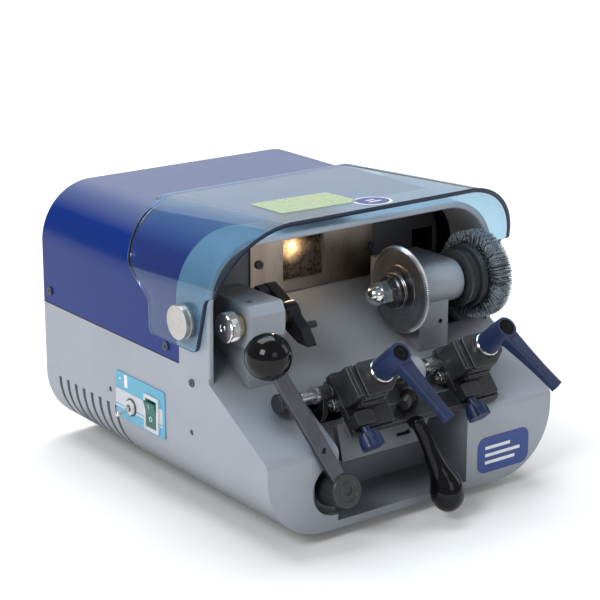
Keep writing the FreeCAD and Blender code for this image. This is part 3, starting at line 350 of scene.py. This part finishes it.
def lets_light_through(look, tint):
    """Shadow rays pass a clear piece with a tint, as they do a thin real sheet."""
    clear = look.node("BsdfTransparent")
    clear.inputs["Color"].default_value = (*tint, 1)
    path = look.node("LightPath")
    mix = look.node("MixShader")
    look.link(path.outputs["Is Shadow Ray"], mix.inputs["Fac"])
    look.link(look.shader.outputs["BSDF"], mix.inputs[1])
    look.link(clear.outputs["BSDF"], mix.inputs[2])
    look.link(mix.outputs["Shader"], look.output.inputs["Surface"])
    return look.material


def shield_plastic():
    look = Look("shield_blue", (0.40, 0.60, 0.73), 0.02)
    look.set("Transmission Weight", 1.0)
    look.set("IOR", 1.45)
    look.roughness(look.noise(30, 3), 0.01, 0.04)
    look.bump(look.noise(14, 2), 0.05, 0.3)
    return lets_light_through(look, (0.62, 0.78, 0.88))


def bulb_glass():
    look = Look("bulb_glow", (1.0, 0.75, 0.45), 0.2)
    look.tint(look.noise(80, 2), (1.0, 0.68, 0.36), (1.0, 0.84, 0.58))
    look.set("Emission Color", (1.0, 0.66, 0.32, 1))
    look.set("Emission Strength", 6.0)
    return look.material


def lamp_lens():
    """Mottled dark brown glass with a painted warm glow, an emission, where the bulb stands
    behind it.
    """
    look = Look("lamp_lens", (0.10, 0.075, 0.055), 0.25)
    look.tint(look.noise(150, 5, 0.7), (0.012, 0.010, 0.009), (0.17, 0.13, 0.10))
    look.roughness(look.noise(300, 3), 0.2, 0.4)
    # painted glow: emission round the bulb's place, fading outward
    halo = look.scaled(look.radius((-19, 0, 213), AXIS_Y), 1.0, 0.0, 0.0015, 0.022)
    falloff = look.node("Math", operation="POWER")
    falloff.inputs[1].default_value = 3.5
    look.link(halo, falloff.inputs[0])
    power = look.node("Math", operation="MULTIPLY")
    look.link(look.scaled(look.noise(220, 4), 1.6, 5.0), power.inputs[0])
    look.link(falloff.outputs["Value"], power.inputs[1])
    look.set("Emission Color", (1.0, 0.60, 0.26, 1))
    look.link(power.outputs["Value"], look.shader.inputs["Emission Strength"])
    return look.material


def lamp_steel():
    """Brushed stainless, its colour painted warm as the light of the lamp beside its window."""
    # painted light: the steel's colour is warmed as if by the lamp
    colour = (0.46, 0.38, 0.32)
    look = Look("lamp_steel", colour, 0.34, metal=1.0)
    look.tint(look.noise(40, 5, stretch=(1, 1, 0.12)), (0.36, 0.29, 0.24), (0.54, 0.46, 0.40))
    look.roughness(look.noise(1400, 3, stretch=(1, 1, 0.04)), 0.26, 0.46)
    look.bump(look.noise(1800, 3, stretch=(1, 1, 0.03)), 0.25, 0.03)
    return look.material


def cutter_steel():
    look = Look("cutter_steel", (0.40, 0.39, 0.38), 0.3, metal=1.0)
    marks = look.rings(1500, SPINDLE, AXIS_X)
    look.tint(look.noise(28, 4), (0.15, 0.135, 0.13), (0.27, 0.28, 0.30))
    # painted highlight: the tooth tips beyond 38.4 mm radius are lightened
    tip_highlight = look.node("Mix", data_type="RGBA")
    tip_highlight.inputs["B"].default_value = (0.75, 0.75, 0.76, 1)
    rim = look.scaled(look.radius(SPINDLE, AXIS_X), 0, 1, 0.0384, 0.0392)
    look.link(rim, tip_highlight.inputs["Factor"])
    look.link(look.shader.inputs["Base Color"].links[0].from_socket, tip_highlight.inputs["A"])
    look.link(tip_highlight.outputs["Result"], look.shader.inputs["Base Color"])
    look.roughness(marks, 0.24, 0.42)
    look.bump(marks, 0.35, 0.03)
    return look.material


def switch_film():
    """Printed film: a pale panel between blue bands, with fine white rules."""
    look = Look("label_teal", (0.30, 0.62, 0.72), 0.32, coat=0.3)
    split = look.node("SeparateXYZ")
    look.link(look.place(), split.inputs["Vector"])
    ramp = look.node("ValToRGB")
    ramp.color_ramp.interpolation = "CONSTANT"
    blue, white = (0.085, 0.37, 0.55, 1), (0.56, 0.57, 0.62, 1)
    bands = ((0.0, blue), (0.22, white), (0.26, blue), (0.29, white), (0.61, blue))
    elements = ramp.color_ramp.elements
    elements[0].color = blue
    elements.remove(elements[1])
    for position, colour in bands[1:]:
        elements.new(position).color = colour
    height = look.scaled(split.outputs["Z"], 0.0, 1.0, 0.060, 0.104)
    look.link(height, ramp.inputs["Fac"])
    fade = look.node("Mix", data_type="RGBA")
    fade.inputs["A"].default_value = blue
    look.link(ramp.outputs["Color"], fade.inputs["B"])
    along = look.scaled(split.outputs["Y"], 0.0, 1.0, 0.154, 0.1575)
    look.link(along, fade.inputs["Factor"])
    look.link(fade.outputs["Result"], look.shader.inputs["Base Color"])
    look.roughness(look.noise(200, 3), 0.26, 0.4)
    look.bump(look.noise(1800, 2), 0.04, 0.03)
    return look.material


def brush_wire():
    """Steel wires with painted shade, darker towards their roots and in the gaps between uneven
    tufts, and a fine speckle of painted glints.
    """
    look = Look("bristle_grey", (0.36, 0.41, 0.50), 0.34, metal=0.7)
    # painted shade: the wires darken towards their roots
    root_shade = look.scaled(look.radius(SPINDLE, AXIS_X), 0.45, 1.0, 0.030, 0.0405)
    coords = look.node("TexCoord")
    split = look.node("SeparateXYZ")
    look.link(coords.outputs["Object"], split.inputs["Vector"])
    offsets = []
    for axis, middle in (("Y", SPINDLE.y), ("Z", SPINDLE.z)):
        offset = look.node("Math", operation="SUBTRACT")
        offset.inputs[1].default_value = middle * MM
        look.link(split.outputs[axis], offset.inputs[0])
        offsets.append(offset.outputs["Value"])
    turn = look.node("Math", operation="ARCTAN2")
    look.link(offsets[1], turn.inputs[0])
    look.link(offsets[0], turn.inputs[1])
    # painted shade: darker gaps between the tufts round the brush
    tufts = look.node("TexNoise", noise_dimensions="1D")
    tufts.inputs["Scale"].default_value = 26
    tufts.inputs["Detail"].default_value = 3
    tufts.inputs["Roughness"].default_value = 0.75
    look.link(turn.outputs["Value"], tufts.inputs["W"])
    # painted glints: a fine speckle lightens the wires here and there
    speckle = look.noise(700, 2, stretch=(1.6, 1, 1))
    light = look.node("Math", operation="MULTIPLY")
    look.link(look.scaled(tufts.outputs["Fac"], 0.1, 1.0, 0.38, 0.55), light.inputs[0])
    look.link(root_shade, light.inputs[1])
    both = look.node("Math", operation="MULTIPLY")
    look.link(light.outputs["Value"], both.inputs[0])
    look.link(look.scaled(speckle, 0.55, 1.35, 0.40, 0.58), both.inputs[1])
    look.tint(both.outputs["Value"], (0.03, 0.038, 0.055), (0.84, 0.91, 1.0))
    look.roughness(look.noise(900, 2), 0.28, 0.45)
    return look.material


def printed(name, colour, rough=0.3):
    look = Look(name, colour, rough, coat=0.25)
    look.tint(look.noise(120, 3), shade(colour, 0.93), shade(colour, 1.06))
    look.roughness(look.noise(300, 3), rough * 0.85, rough * 1.2)
    return look.material


LOOKS = {
    "casting_grey": paint("casting_grey", GREY, 0.42, 1.3, 0.10),
    "cover_blue": cover_paint(),
    "shield_blue": shield_plastic(),
    "grey_plate": paint("grey_plate", (0.20, 0.215, 0.235), 0.45, 1.1, 0.10),
    "rubber_black": plastic("rubber_black", (0.022, 0.022, 0.023), 0.72, 0.2, 900),
    "zinc_screw": metal("zinc_screw", (0.55, 0.55, 0.54), 0.26),
    "lamp_steel": lamp_steel(),
    "bulb_glass": bulb_glass(),
    "black_plastic": plastic("black_plastic", (0.016, 0.016, 0.018), 0.36, 0.12),
    "gloss_black": plastic("gloss_black", (0.004, 0.004, 0.005), 0.06, 0.005, spec=0.26),
    "label_teal": switch_film(),
    "green_switch": plastic("green_switch", (0.0003, 0.125, 0.098), 0.34, 0.02),
    "white_frame": plastic("white_frame", (0.62, 0.64, 0.64), 0.28, 0.03),
    "chrome": metal("chrome", (0.72, 0.72, 0.71), 0.12, grain=0.01),
    "ground_steel": turned_metal("ground_steel", (0.56, 0.56, 0.57), 0.26, SPINDLE, AXIS_X),
    "cutter_steel": cutter_steel(),
    "black_steel": blackened("black_steel"),
    "aluminium": turned_metal("aluminium", (0.60, 0.61, 0.62), 0.32, SPINDLE, AXIS_X),
    "bristle_grey": brush_wire(),
    "brass": turned_metal("brass", (0.62, 0.50, 0.26), 0.28, SPINDLE, AXIS_X),
    "grip_blue": plastic("grip_blue", (0.010, 0.022, 0.075), 0.38, 0.10),
    "steel_bar": metal("steel_bar", (0.13, 0.13, 0.155), 0.42, (1, 1, 0.2), 0.1),
    "motor_grey": paint("motor_grey", (0.055, 0.06, 0.066), 0.4, 1.0, 0.1),
}
SMOKED = plastic("hub_black", (0.030, 0.031, 0.033), 0.34, 0.08)
DARK_EDGE = plastic("edge_navy", (0.003, 0.008, 0.035), 0.4, 0.01)
# painted highlight: a pale band for the light along a clear sheet's cut edge
REAR_EDGE_HIGHLIGHT = plastic("edge_painted_highlight", (0.25, 0.40, 0.60), 0.15, 0.01)

# ---------------------------------------------------------------- the CAD pieces' finish

SOFT_EDGES = {
    "main_frame": 0.9, "hood": 0.7, "top_cover": 0.5, "partition_wall": 0.4, "rear_panel": 0.4,
    "tracer_bracket": 0.7, "spindle_housing": 0.7, "shaft_bearing_block": 0.5,
    "lever_bearing_block": 0.5, "carriage_casting": 0.6, "lower_jaws": 0.35,
    "left_upper_jaw": 0.35, "right_upper_jaw": 0.35, "left_clamp_lever": 0.7,
    "right_clamp_lever": 0.7, "left_wing_knob": 0.8, "right_wing_knob": 0.8, "lock_knob": 0.7,
    "lever_hub": 0.4, "lever_bar": 0.5, "tracer_arm": 2.0, "tracer_screws": 0.4,
    "drive_fork": 0.4, "switch_bezels": 0.4, "power_rocker": 0.5, "cap_nut": 0.3,
    "shield_knobs": 0.5, "shield": 0.5, "shaft_end_cap": 0.5, "carriage_screws": 0.5,
    "lamp_plate": 0.2, "machine_screws": 0.2, "cutter_collar": 0.3, "spindle_pulley": 0.3,
    "brush_hub": 0.5, "motor_bracket": 0.4, "power_inlet": 0.5, "shaft_collars": 0.3,
}


def round_edges(obj, width_mm, angle=32):
    """Joins the mesh's faces and rounds its corners, so that they catch the light."""
    weld = obj.modifiers.new("weld", "WELD")
    weld.merge_threshold = 0.00001
    flat = obj.modifiers.new("flat", "DECIMATE")
    flat.decimate_type = "DISSOLVE"
    flat.angle_limit = math.radians(0.3)
    bevel = obj.modifiers.new("bevel", "BEVEL")
    bevel.width = width_mm * MM
    bevel.segments = 2
    bevel.limit_method = "ANGLE"
    bevel.angle_limit = math.radians(angle)
    bevel.use_clamp_overlap = True
    bevel.miter_outer = "MITER_ARC"
    bevel.harden_normals = True
    normals = obj.modifiers.new("normals", "WEIGHTED_NORMAL")
    normals.keep_sharp = True


SHEET_METAL = ("top_cover", "partition_wall", "rear_panel", "switch_plate")

for entry in frame["record"]["subparts"]:
    node = NODES[entry["node"]]
    node.data.materials.clear()
    node.data.materials.append(LOOKS[entry["material_slot"]])
    if entry["node"] in SHEET_METAL:
        continue
    if "custom_normal" in node.data.attributes:
        node.data.attributes.remove(node.data.attributes["custom_normal"])
    node.data.polygons.foreach_set("use_smooth", [True] * len(node.data.polygons))
    round_edges(node, SOFT_EDGES.get(entry["node"], 0.15))


def repaint(node, material):
    NODES[node].data.materials[0] = material


repaint("lever_hub", SMOKED)
repaint("shaft_end_cap", LOOKS["black_plastic"])
repaint("spindle_pulley", SMOKED)
repaint("brush_hub", SMOKED)
repaint("machine_screws", LOOKS["black_steel"])
repaint("tracer_arm", plastic("arm_black", (0.010, 0.010, 0.012), 0.20, 0.03))
repaint("cutter_collar", metal("collar_steel", (0.10, 0.10, 0.105), 0.28))
# the hood gets only a little painted shade in its hollows
repaint("hood", paint("hood_grey", GREY, 0.42, 1.3, 0.10, least=0.85))
repaint("carriage_casting", carriage_finish())
repaint("shield_knobs", metal("knob_steel", (0.50, 0.49, 0.47), 0.36, (1, 1, 0.1), 0.04, 1400))


# ---------------------------------------------------------------- mesh helpers

def add_piece(name, mesh, body, material, crease=35):
    """Makes a bmesh into a named piece that rides on a CAD body."""
    bmesh.ops.recalc_face_normals(mesh, faces=mesh.faces)
    data = bpy.data.meshes.new(name)
    mesh.to_mesh(data)
    mesh.free()
    data.polygons.foreach_set("use_smooth", [True] * len(data.polygons))
    data.set_sharp_from_angle(angle=math.radians(crease))
    data.materials.append(material)
    obj = bpy.data.objects.new(name, data)
    bpy.context.scene.collection.objects.link(obj)
    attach(obj, body)
    return obj


def thicken(obj, thick_mm):
    solid = obj.modifiers.new("thickness", "SOLIDIFY")
    solid.thickness = thick_mm * MM
    solid.offset = -1


def frame_on(origin, axis):
    """A matrix whose Z runs along an axis from an origin in millimetres."""
    turn = Vector(axis).to_track_quat("Z", "Y").to_matrix().to_4x4()
    return Matrix.Translation(Vector(origin)) @ turn


def lathe(mesh, origin, axis, profile, steps=96, wave=None):
    """Sweeps (along, radius) points round an axis; wave can change a radius by its step."""
    place = frame_on(origin, axis)
    rings = []
    for along, radius in profile:
        if radius == 0:
            rings.append([mesh.verts.new(place @ Vector((0, 0, along)) * MM)])
            continue
        ring = []
        for step in range(steps):
            angle = 2 * math.pi * step / steps
            reach = wave(step, radius, along) if wave else radius
            point = Vector((reach * math.cos(angle), reach * math.sin(angle), along))
            ring.append(mesh.verts.new(place @ point * MM))
        rings.append(ring)
    for near, far in zip(rings, rings[1:]):
        for step in range(steps):
            after = (step + 1) % steps
            if len(near) == 1 and len(far) == 1:
                continue
            if len(near) == 1:
                mesh.faces.new((near[0], far[step], far[after]))
            elif len(far) == 1:
                mesh.faces.new((near[step], far[0], near[after]))
            else:
                mesh.faces.new((near[step], far[step], far[after], near[after]))
    return mesh


def ring_profile(inner, outer, low, high, soft=0.4):
    """A closed ring's section with softened outer corners."""
    return [(low, inner), (low, outer - soft), (low + soft, outer), (high - soft, outer),
            (high, outer - soft), (high, inner), (low, inner)]


def sheet(mesh, place, outline, thick):
    """A thin plate with a flat outline, drawn in a frame and raised by its thickness."""
    low = [mesh.verts.new(place @ Vector((x, y, 0)) * MM) for x, y in outline]
    high = [mesh.verts.new(place @ Vector((x, y, thick)) * MM) for x, y in outline]
    mesh.faces.new(low)
    mesh.faces.new(high)
    for index in range(len(outline)):
        after = (index + 1) % len(outline)
        mesh.faces.new((low[index], low[after], high[after], high[index]))
    return mesh


def arc(cx, cy, radius, start, end, count):
    """Points of an arc, its angles in degrees."""
    return [(cx + radius * math.cos(math.radians(start + (end - start) * i / count)),
             cy + radius * math.sin(math.radians(start + (end - start) * i / count)))
            for i in range(count + 1)]


def rounded(width, height, radius, steps=8):
    return (arc(width - radius, radius, radius, -90, 0, steps)
            + arc(width - radius, height - radius, radius, 0, 90, steps)
            + arc(radius, height - radius, radius, 90, 180, steps)
            + arc(radius, radius, radius, 180, 270, steps))


# ---------------------------------------------------------------- cutter, brush, micrometer

TEETH = 120
TOOTH_DEPTH = 1.1


def tooth(step, radius, along):
    """Saw-tooth rim: every point of the rim has a steep and a shallow flank."""
    if radius < 37:
        return radius
    return radius - TOOTH_DEPTH * (step % 3) / 2


mesh = lathe(bmesh.new(), SPINDLE, AXIS_X,
             [(44, 8), (44, 22), (44.5, 23), (44.5, 33), (44, 34), (44, 37.6), (45.8, 39.9),
              (47.2, 39.9), (49, 37.6), (49, 8), (44, 8)], steps=TEETH * 3, wave=tooth)
cutter = add_piece("cutter_teeth", mesh, "spindle", LOOKS["cutter_steel"], 25)
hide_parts("cutter_wheel")

ROWS, WIRES_PER_ROW = 8, 300
WIRE_RADIUS = 0.36
draw = random.Random(11)
mesh = bmesh.new()
for row in range(ROWS):
    root = 130.5 + row * 1.95
    for wire in range(WIRES_PER_ROW):
        turn = 2 * math.pi * (wire + row * 0.37 + draw.uniform(-0.2, 0.2)) / WIRES_PER_ROW
        lean = draw.uniform(-0.012, 0.012)
        spread = (root - 137.3) * 0.13 + draw.uniform(-0.3, 0.3)
        length = draw.uniform(40.2, 41.0)
        rings = []
        for radius, share in ((22, 0.0), (32, 0.5), (length, 1.0)):
            along = min(max(root + spread * share, 128.5), 145.5)
            angle = turn + lean * share
            ring = []
            for side in range(3):
                around = 2 * math.pi * side / 3
                spot = angle + WIRE_RADIUS * math.sin(around) / radius
                point = Vector((along + WIRE_RADIUS * math.cos(around),
                                SPINDLE.y + radius * math.cos(spot),
                                SPINDLE.z + radius * math.sin(spot)))
                ring.append(mesh.verts.new(point * MM))
            rings.append(ring)
        for near, far in zip(rings, rings[1:]):
            for side in range(3):
                after = (side + 1) % 3
                mesh.faces.new((near[side], far[side], far[after], near[after]))
        mesh.faces.new(rings[0])
        mesh.faces.new(rings[-1])
brush = add_piece("brush_wires", mesh, "spindle", LOOKS["bristle_grey"], 60)
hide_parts("brush_bristles")
mesh = lathe(bmesh.new(), SPINDLE, AXIS_X, [(131, 18), (130.5, 27), (134, 31), (142, 31),
                                            (145.5, 27), (145, 18), (131, 18)])
add_piece("brush_core", mesh, "spindle", LOOKS["motor_grey"])

REAR_SCREW = SPINDLE + Vector((-84, 30 * math.cos(math.radians(30)), 15))
mesh = lathe(bmesh.new(), REAR_SCREW, -AXIS_X,
             [(0.4, 0), (0.4, 6.6), (8.0, 6.6), (9.2, 5.6), (9.2, 3.2), (5, 3.0), (5, 0)], 72,
             wave=lambda step, radius, along: radius - 0.35 * (step % 2 if radius > 6 else 0))
add_piece("tracer_screw_grip", mesh, "tracer", LOOKS["gloss_black"], 30)

mesh = bmesh.new()
for x, y in ((80.4, 97), (96, 95)):
    hit = NODES["spindle_housing"].closest_point_on_mesh(Vector((x, y, 215)) * MM)[1] / MM
    lathe(mesh, hit, AXIS_Z, [(-0.4, 0), (-0.4, 1.7), (0.5, 1.7), (0.9, 1.2), (0.9, 0.7),
                              (0.3, 0.6), (0.3, 0)], steps=32)
add_piece("housing_screws", mesh, "frame", LOOKS["zinc_screw"])

mesh = bmesh.new()
LENS_BACK = 157.2
corners = [(-30.8, 183.2), (14.8, 183.2), (14.8, 220.8), (-30.8, 220.8)]
mesh.faces.new([mesh.verts.new(Vector((x, LENS_BACK, z)) * MM) for x, z in corners])
lens = add_piece("lamp_lens", mesh, "frame", lamp_lens())
thicken(lens, 0.8)


def knurl(step, radius, along):
    """Straight grooves round the grip, none on its face or bore."""
    if radius > 12.5 and step % 2:
        return radius - 0.45
    return radius


mesh = lathe(bmesh.new(), SPINDLE, AXIS_X,
             [(-147, 0), (-147, 2), (-146.6, 2.4), (-146.6, 4), (-147, 4.4), (-147, 12),
              (-146.2, 13.0), (-145.2, 13.3), (-137.6, 13.3), (-136.6, 13.0), (-136, 12.2),
              (-136, 5.1), (-144.5, 5.1), (-144.5, 0)], steps=144, wave=knurl)
grip = add_piece("micrometer_grip", mesh, "micrometer", LOOKS["chrome"], 30)
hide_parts("micrometer_knob")

# ---------------------------------------------------------------- ball, levers, clamp rings

low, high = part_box("ball_knob")
centre = (low + high) / 2 / MM
HUB_FACE = Vector((-88, -16, 50))
LEVER_LEAN = math.radians(13.8)
LEVER_AXIS = Vector((0, math.cos(LEVER_LEAN), -math.sin(LEVER_LEAN)))
stem = (HUB_FACE + LEVER_AXIS * 4.5 - centre).normalized()
BALL_RADIUS = 19.95
profile = [(-BALL_RADIUS * math.cos(math.radians(a)), BALL_RADIUS * math.sin(math.radians(a)))
           for a in range(0, 160, 5)]
profile[0] = (-BALL_RADIUS, 0)
profile += [(18.7, 6.9), (18.9, 6.3), (18.5, 6.0), (18.5, 0)]
mesh = lathe(bmesh.new(), centre, stem, profile, steps=128)
ball = add_piece("lever_ball", mesh, "feed", LOOKS["gloss_black"], 40)
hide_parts("ball_knob")

for side, ring_at in CLAMP_RINGS.items():
    lever = side + "_lever"
    mesh = lathe(bmesh.new(), ring_at, CLAMP_AXIS, ring_profile(10.6, 11.4, 0.4, 3.4, 0.3), 96)
    lathe(mesh, ring_at, CLAMP_AXIS, ring_profile(10.6, 11.0, 3.4, 4.2, 0.2), 96)
    add_piece(side + "_lever_ring", mesh, lever, LOOKS["chrome"], 40)
    mesh = lathe(bmesh.new(), ring_at, CLAMP_AXIS,
                 [(35.2, 7.4), (35.9, 7.0), (35.9, 3.6), (35.35, 3.2), (35.35, 0)], 64)
    add_piece(side + "_lever_plug", mesh, lever, LOOKS["gloss_black"], 30)

CHEEK_FRONT, CHEEK_BACK = -16, 12.6
for side, ring_at in CLAMP_RINGS.items():
    clamp = Matrix.Translation(ring_at) @ Matrix.Rotation(CLAMP_TILT, 4, "X")
    mesh = bmesh.new()
    for near, far in ((-30.6, -27.4), (-26.4, -22.6)):
        at = clamp @ Matrix.Translation(Vector((near, CHEEK_FRONT, -26.8)))
        sheet(mesh, at, rounded(far - near, CHEEK_BACK - CHEEK_FRONT, 0.6, 3), 24.4)
    cheeks = add_piece(side + "_clamp_cheeks", mesh, "carriage", LOOKS["black_steel"])
    bevel = cheeks.modifiers.new("bevel", "BEVEL")
    bevel.width = 0.4 * MM
    bevel.segments = 2

mesh = bmesh.new()
lathe(mesh, SPINDLE, AXIS_X, ring_profile(16.05, 16.6, 38.4, 39.2, 0.2), 96)
lathe(mesh, SPINDLE, AXIS_X, ring_profile(16.05, 16.6, 40.4, 41.2, 0.2), 96)
add_piece("collar_grips", mesh, "spindle", LOOKS["ground_steel"])

# ---------------------------------------------------------------- labels

BLUE_PRINT = printed("print_blue", (0.004, 0.042, 0.24), 0.45)
WHITE_PRINT = printed("print_white", (0.80, 0.82, 0.84))
GREEN_PRINT = printed("print_green", (0.35, 0.47, 0.25))

nose = Matrix.Rotation(math.radians(90), 4, "X")
badge_at = nose @ Matrix.Translation(Vector((72, 20, 0)))
mesh = sheet(bmesh.new(), badge_at, rounded(62, 34, 9), 0.25)
add_piece("nose_badge", mesh, "frame", BLUE_PRINT)
mesh = bmesh.new()
raised = badge_at @ Matrix.Translation(Vector((0, 0, 0.25)))
for x, y, width in ((9, 22, 30), (9, 15, 42), (9, 8, 36)):
    sheet(mesh, raised, [(x, y), (x + width, y), (x + width, y + 3), (x, y + 3)], 0.1)
add_piece("nose_badge_marks", mesh, "frame", WHITE_PRINT)

SHIELD_SLOPE = math.radians(-3.8)
shield_top = (Matrix.Translation(Vector((0, 48, 270.7)))
              @ Matrix.Rotation(SHIELD_SLOPE, 4, "X"))
notice_at = shield_top @ Matrix.Translation(Vector((-41.4, 59.6, 0.05)))
notice_at @= Matrix.Rotation(math.radians(-5), 4, "Z") @ Matrix.Translation(Vector((-40, -28, 0)))
mesh = sheet(bmesh.new(), notice_at, rounded(80, 56, 2), 0.2)
add_piece("shield_notice", mesh, "guard", GREEN_PRINT)
seat = shield_top @ Matrix.Translation(Vector((3.4, 21.5, 0.05)))
oval = arc(0, 0, 1, 0, 360, 64)[:-1]
mesh = sheet(bmesh.new(), seat, [(x * 17, y * 18.5) for x, y in oval], 0.2)
add_piece("shield_badge", mesh, "guard", WHITE_PRINT)
seat @= Matrix.Translation(Vector((0, 0, 0.2)))
mesh = sheet(bmesh.new(), seat, [(x * 14.5, y * 15.5) for x, y in oval], 0.12)
add_piece("shield_badge_print", mesh, "guard", BLUE_PRINT)
mesh = bmesh.new()
for low, width in ((-5, 13), (2, 9)):
    bar = seat @ Matrix.Translation(Vector((-width / 2, low, 0.12)))
    sheet(mesh, bar, [(0, 0), (width, 0), (width, 3), (0, 3)], 0.1)
add_piece("shield_badge_marks", mesh, "guard", WHITE_PRINT)

wall = (Matrix.Translation(Vector((-161, 0, 0)))
        @ Matrix(((0, 0, -1, 0), (-1, 0, 0, 0), (0, 1, 0, 0), (0, 0, 0, 1))))
mesh = bmesh.new()
sheet(mesh, wall @ Matrix.Translation(Vector((-218, 91, 0))), rounded(5, 12, 0.6), 0.15)
sheet(mesh, wall @ Matrix.Translation(Vector((-226.5, 96.5, 0))), rounded(2.2, 2.2, 1.0), 0.15)
add_piece("switch_marks", mesh, "frame", WHITE_PRINT)
mesh = lathe(bmesh.new(), (-161, 207, 74.7), -AXIS_X, ring_profile(7.2, 8.3, 0.05, 0.8, 0.2), 48)
add_piece("toggle_washer", mesh, "frame", LOOKS["black_plastic"])


def on_surface(mesh, node, outline, lift_mm):
    """A printed shape laid on a node's left face: its points (y, z) are cast along X."""
    spots = []
    for y, z in outline:
        hit, place, normal, _ = NODES[node].ray_cast(Vector((-300, y, z)) * MM, AXIS_X)
        spots.append(place + normal * lift_mm * MM)
    mesh.faces.new([mesh.verts.new(spot) for spot in spots])
    return mesh


mesh = bmesh.new()
on_surface(mesh, "power_rocker", [(172.9, 83), (172.9, 88), (173.9, 88), (173.9, 83)], 0.12)
mark_in, mark_out = arc(173.4, 73.5, 1.5, 0, 360, 20), arc(173.4, 73.5, 2.4, 0, 360, 20)
for index in range(20):
    on_surface(mesh, "power_rocker", [mark_in[index], mark_in[index + 1], mark_out[index + 1],
                                      mark_out[index]], 0.12)
bmesh.ops.remove_doubles(mesh, verts=mesh.verts, dist=0.00001)
marks = add_piece("rocker_marks", mesh, "rocker", WHITE_PRINT)
thicken(marks, 0.1)


def edge_band(name, node, body, choose, material):
    """A thin skin over the chosen faces of a node, such as the cut edge of a clear sheet."""
    source = bmesh.new()
    source.from_mesh(NODES[node].data)
    bmesh.ops.remove_doubles(source, verts=source.verts, dist=0.00001)
    unwanted = [face for face in source.faces if not choose(face.normal)]
    bmesh.ops.delete(source, geom=unwanted, context="FACES")
    source.normal_update()
    lift = [(vert, vert.normal.copy()) for vert in source.verts]
    for vert, normal in lift:
        vert.co += normal * 0.12 * MM
    band = add_piece(name, source, body, material)
    thicken(band, 0.1)


edge_band("cover_front_edge", "top_cover", "frame",
          lambda normal: normal.y < -0.9, DARK_EDGE)
mesh = bmesh.new()
for side in (-1, 1):
    strip = [mesh.verts.new(Vector((side * 160.1, y, z)) * MM)
             for y, z in ((129.4, 137.3), (361, 137.3), (361, 138.1), (129.4, 138.1))]
    mesh.faces.new(strip)
seam = add_piece("cover_gasket", mesh, "frame", LOOKS["rubber_black"])
thicken(seam, 0.1)
edge_band("shield_front_edge", "shield", "guard",
          lambda normal: abs(normal.x) < 0.2 and normal.y < -0.3, DARK_EDGE)
# painted highlight on the shield's rear cut edge
edge_band("shield_rear_edge", "shield", "guard",
          lambda normal: abs(normal.x) < 0.2 and normal.y > 0.3, REAR_EDGE_HIGHLIGHT)

# ---------------------------------------------------------------- studio

floor_mesh = bmesh.new()
FLOOR_HALF = 14
corners = [(-FLOOR_HALF, -FLOOR_HALF), (FLOOR_HALF, -FLOOR_HALF), (FLOOR_HALF, FLOOR_HALF),
           (-FLOOR_HALF, FLOOR_HALF)]
floor_mesh.faces.new([floor_mesh.verts.new((x, y, 0)) for x, y in corners])
floor_data = bpy.data.meshes.new("floor")
floor_mesh.to_mesh(floor_data)
floor_mesh.free()
floor = bpy.data.objects.new("floor", floor_data)
bpy.context.scene.collection.objects.link(floor)
pale = Look("floor_pale", (0.90, 0.90, 0.90), 0.75, spec=0.2)
pale.tint(pale.noise(3, 2), (0.885, 0.885, 0.888), (0.915, 0.915, 0.918))
pale.set("Emission Color", (1, 1, 1, 1))
pale.link(pale.scaled(pale.radius((0, 150, 0), AXIS_Z), 0.06, 0.72, 0.45, 2.4),
          pale.shader.inputs["Emission Strength"])
floor_data.materials.append(pale.material)


def area_light(name, at, aim, width, height, power, colour=(1, 1, 1)):
    data = bpy.data.lights.new(name, "AREA")
    data.shape = "RECTANGLE"
    data.size, data.size_y = width, height
    data.energy = power
    data.color = colour
    lamp = bpy.data.objects.new(name, data)
    bpy.context.scene.collection.objects.link(lamp)
    lamp.location = at
    lamp.rotation_mode = "QUATERNION"
    lamp.rotation_quaternion = (Vector(aim) - Vector(at)).to_track_quat("-Z", "Y")
    return lamp


area_light("key", (-1.9, -0.6, 1.6), (0, 0.15, 0.1), 0.9, 0.9, 27)
area_light("overhead", (0.1, 0.75, 1.9), (0, 0.15, 0.1), 1.9, 1.1, 34)
area_light("behind", (0.95, 1.42, 0.80), (0, 0.15, 0.25), 1.7, 0.75, 2.0)
area_light("front", (-0.2, -2.2, 1.2), (0, 0.1, 0.1), 1.0, 0.8, 4)
area_light("right", (1.9, -0.6, 1.0), (0, 0.1, 0.15), 0.8, 1.2, 5)
inside = bpy.data.lights.new("lamp_glow", "POINT")
inside.energy = 0.10
inside.color = (1.0, 0.72, 0.42)
inside.shadow_soft_size = 0.006
glow = bpy.data.objects.new("lamp_glow", inside)
bpy.context.scene.collection.objects.link(glow)
glow.location = (-0.020, 0.152, 0.226)

world = bpy.data.worlds.new("studio")
world.use_nodes = True
world.node_tree.nodes["Background"].inputs["Color"].default_value = (0.93, 0.96, 1.0, 1)
world.node_tree.nodes["Background"].inputs["Strength"].default_value = 0.30
bpy.context.scene.world = world
bpy.context.scene.view_settings.view_transform = "Standard"
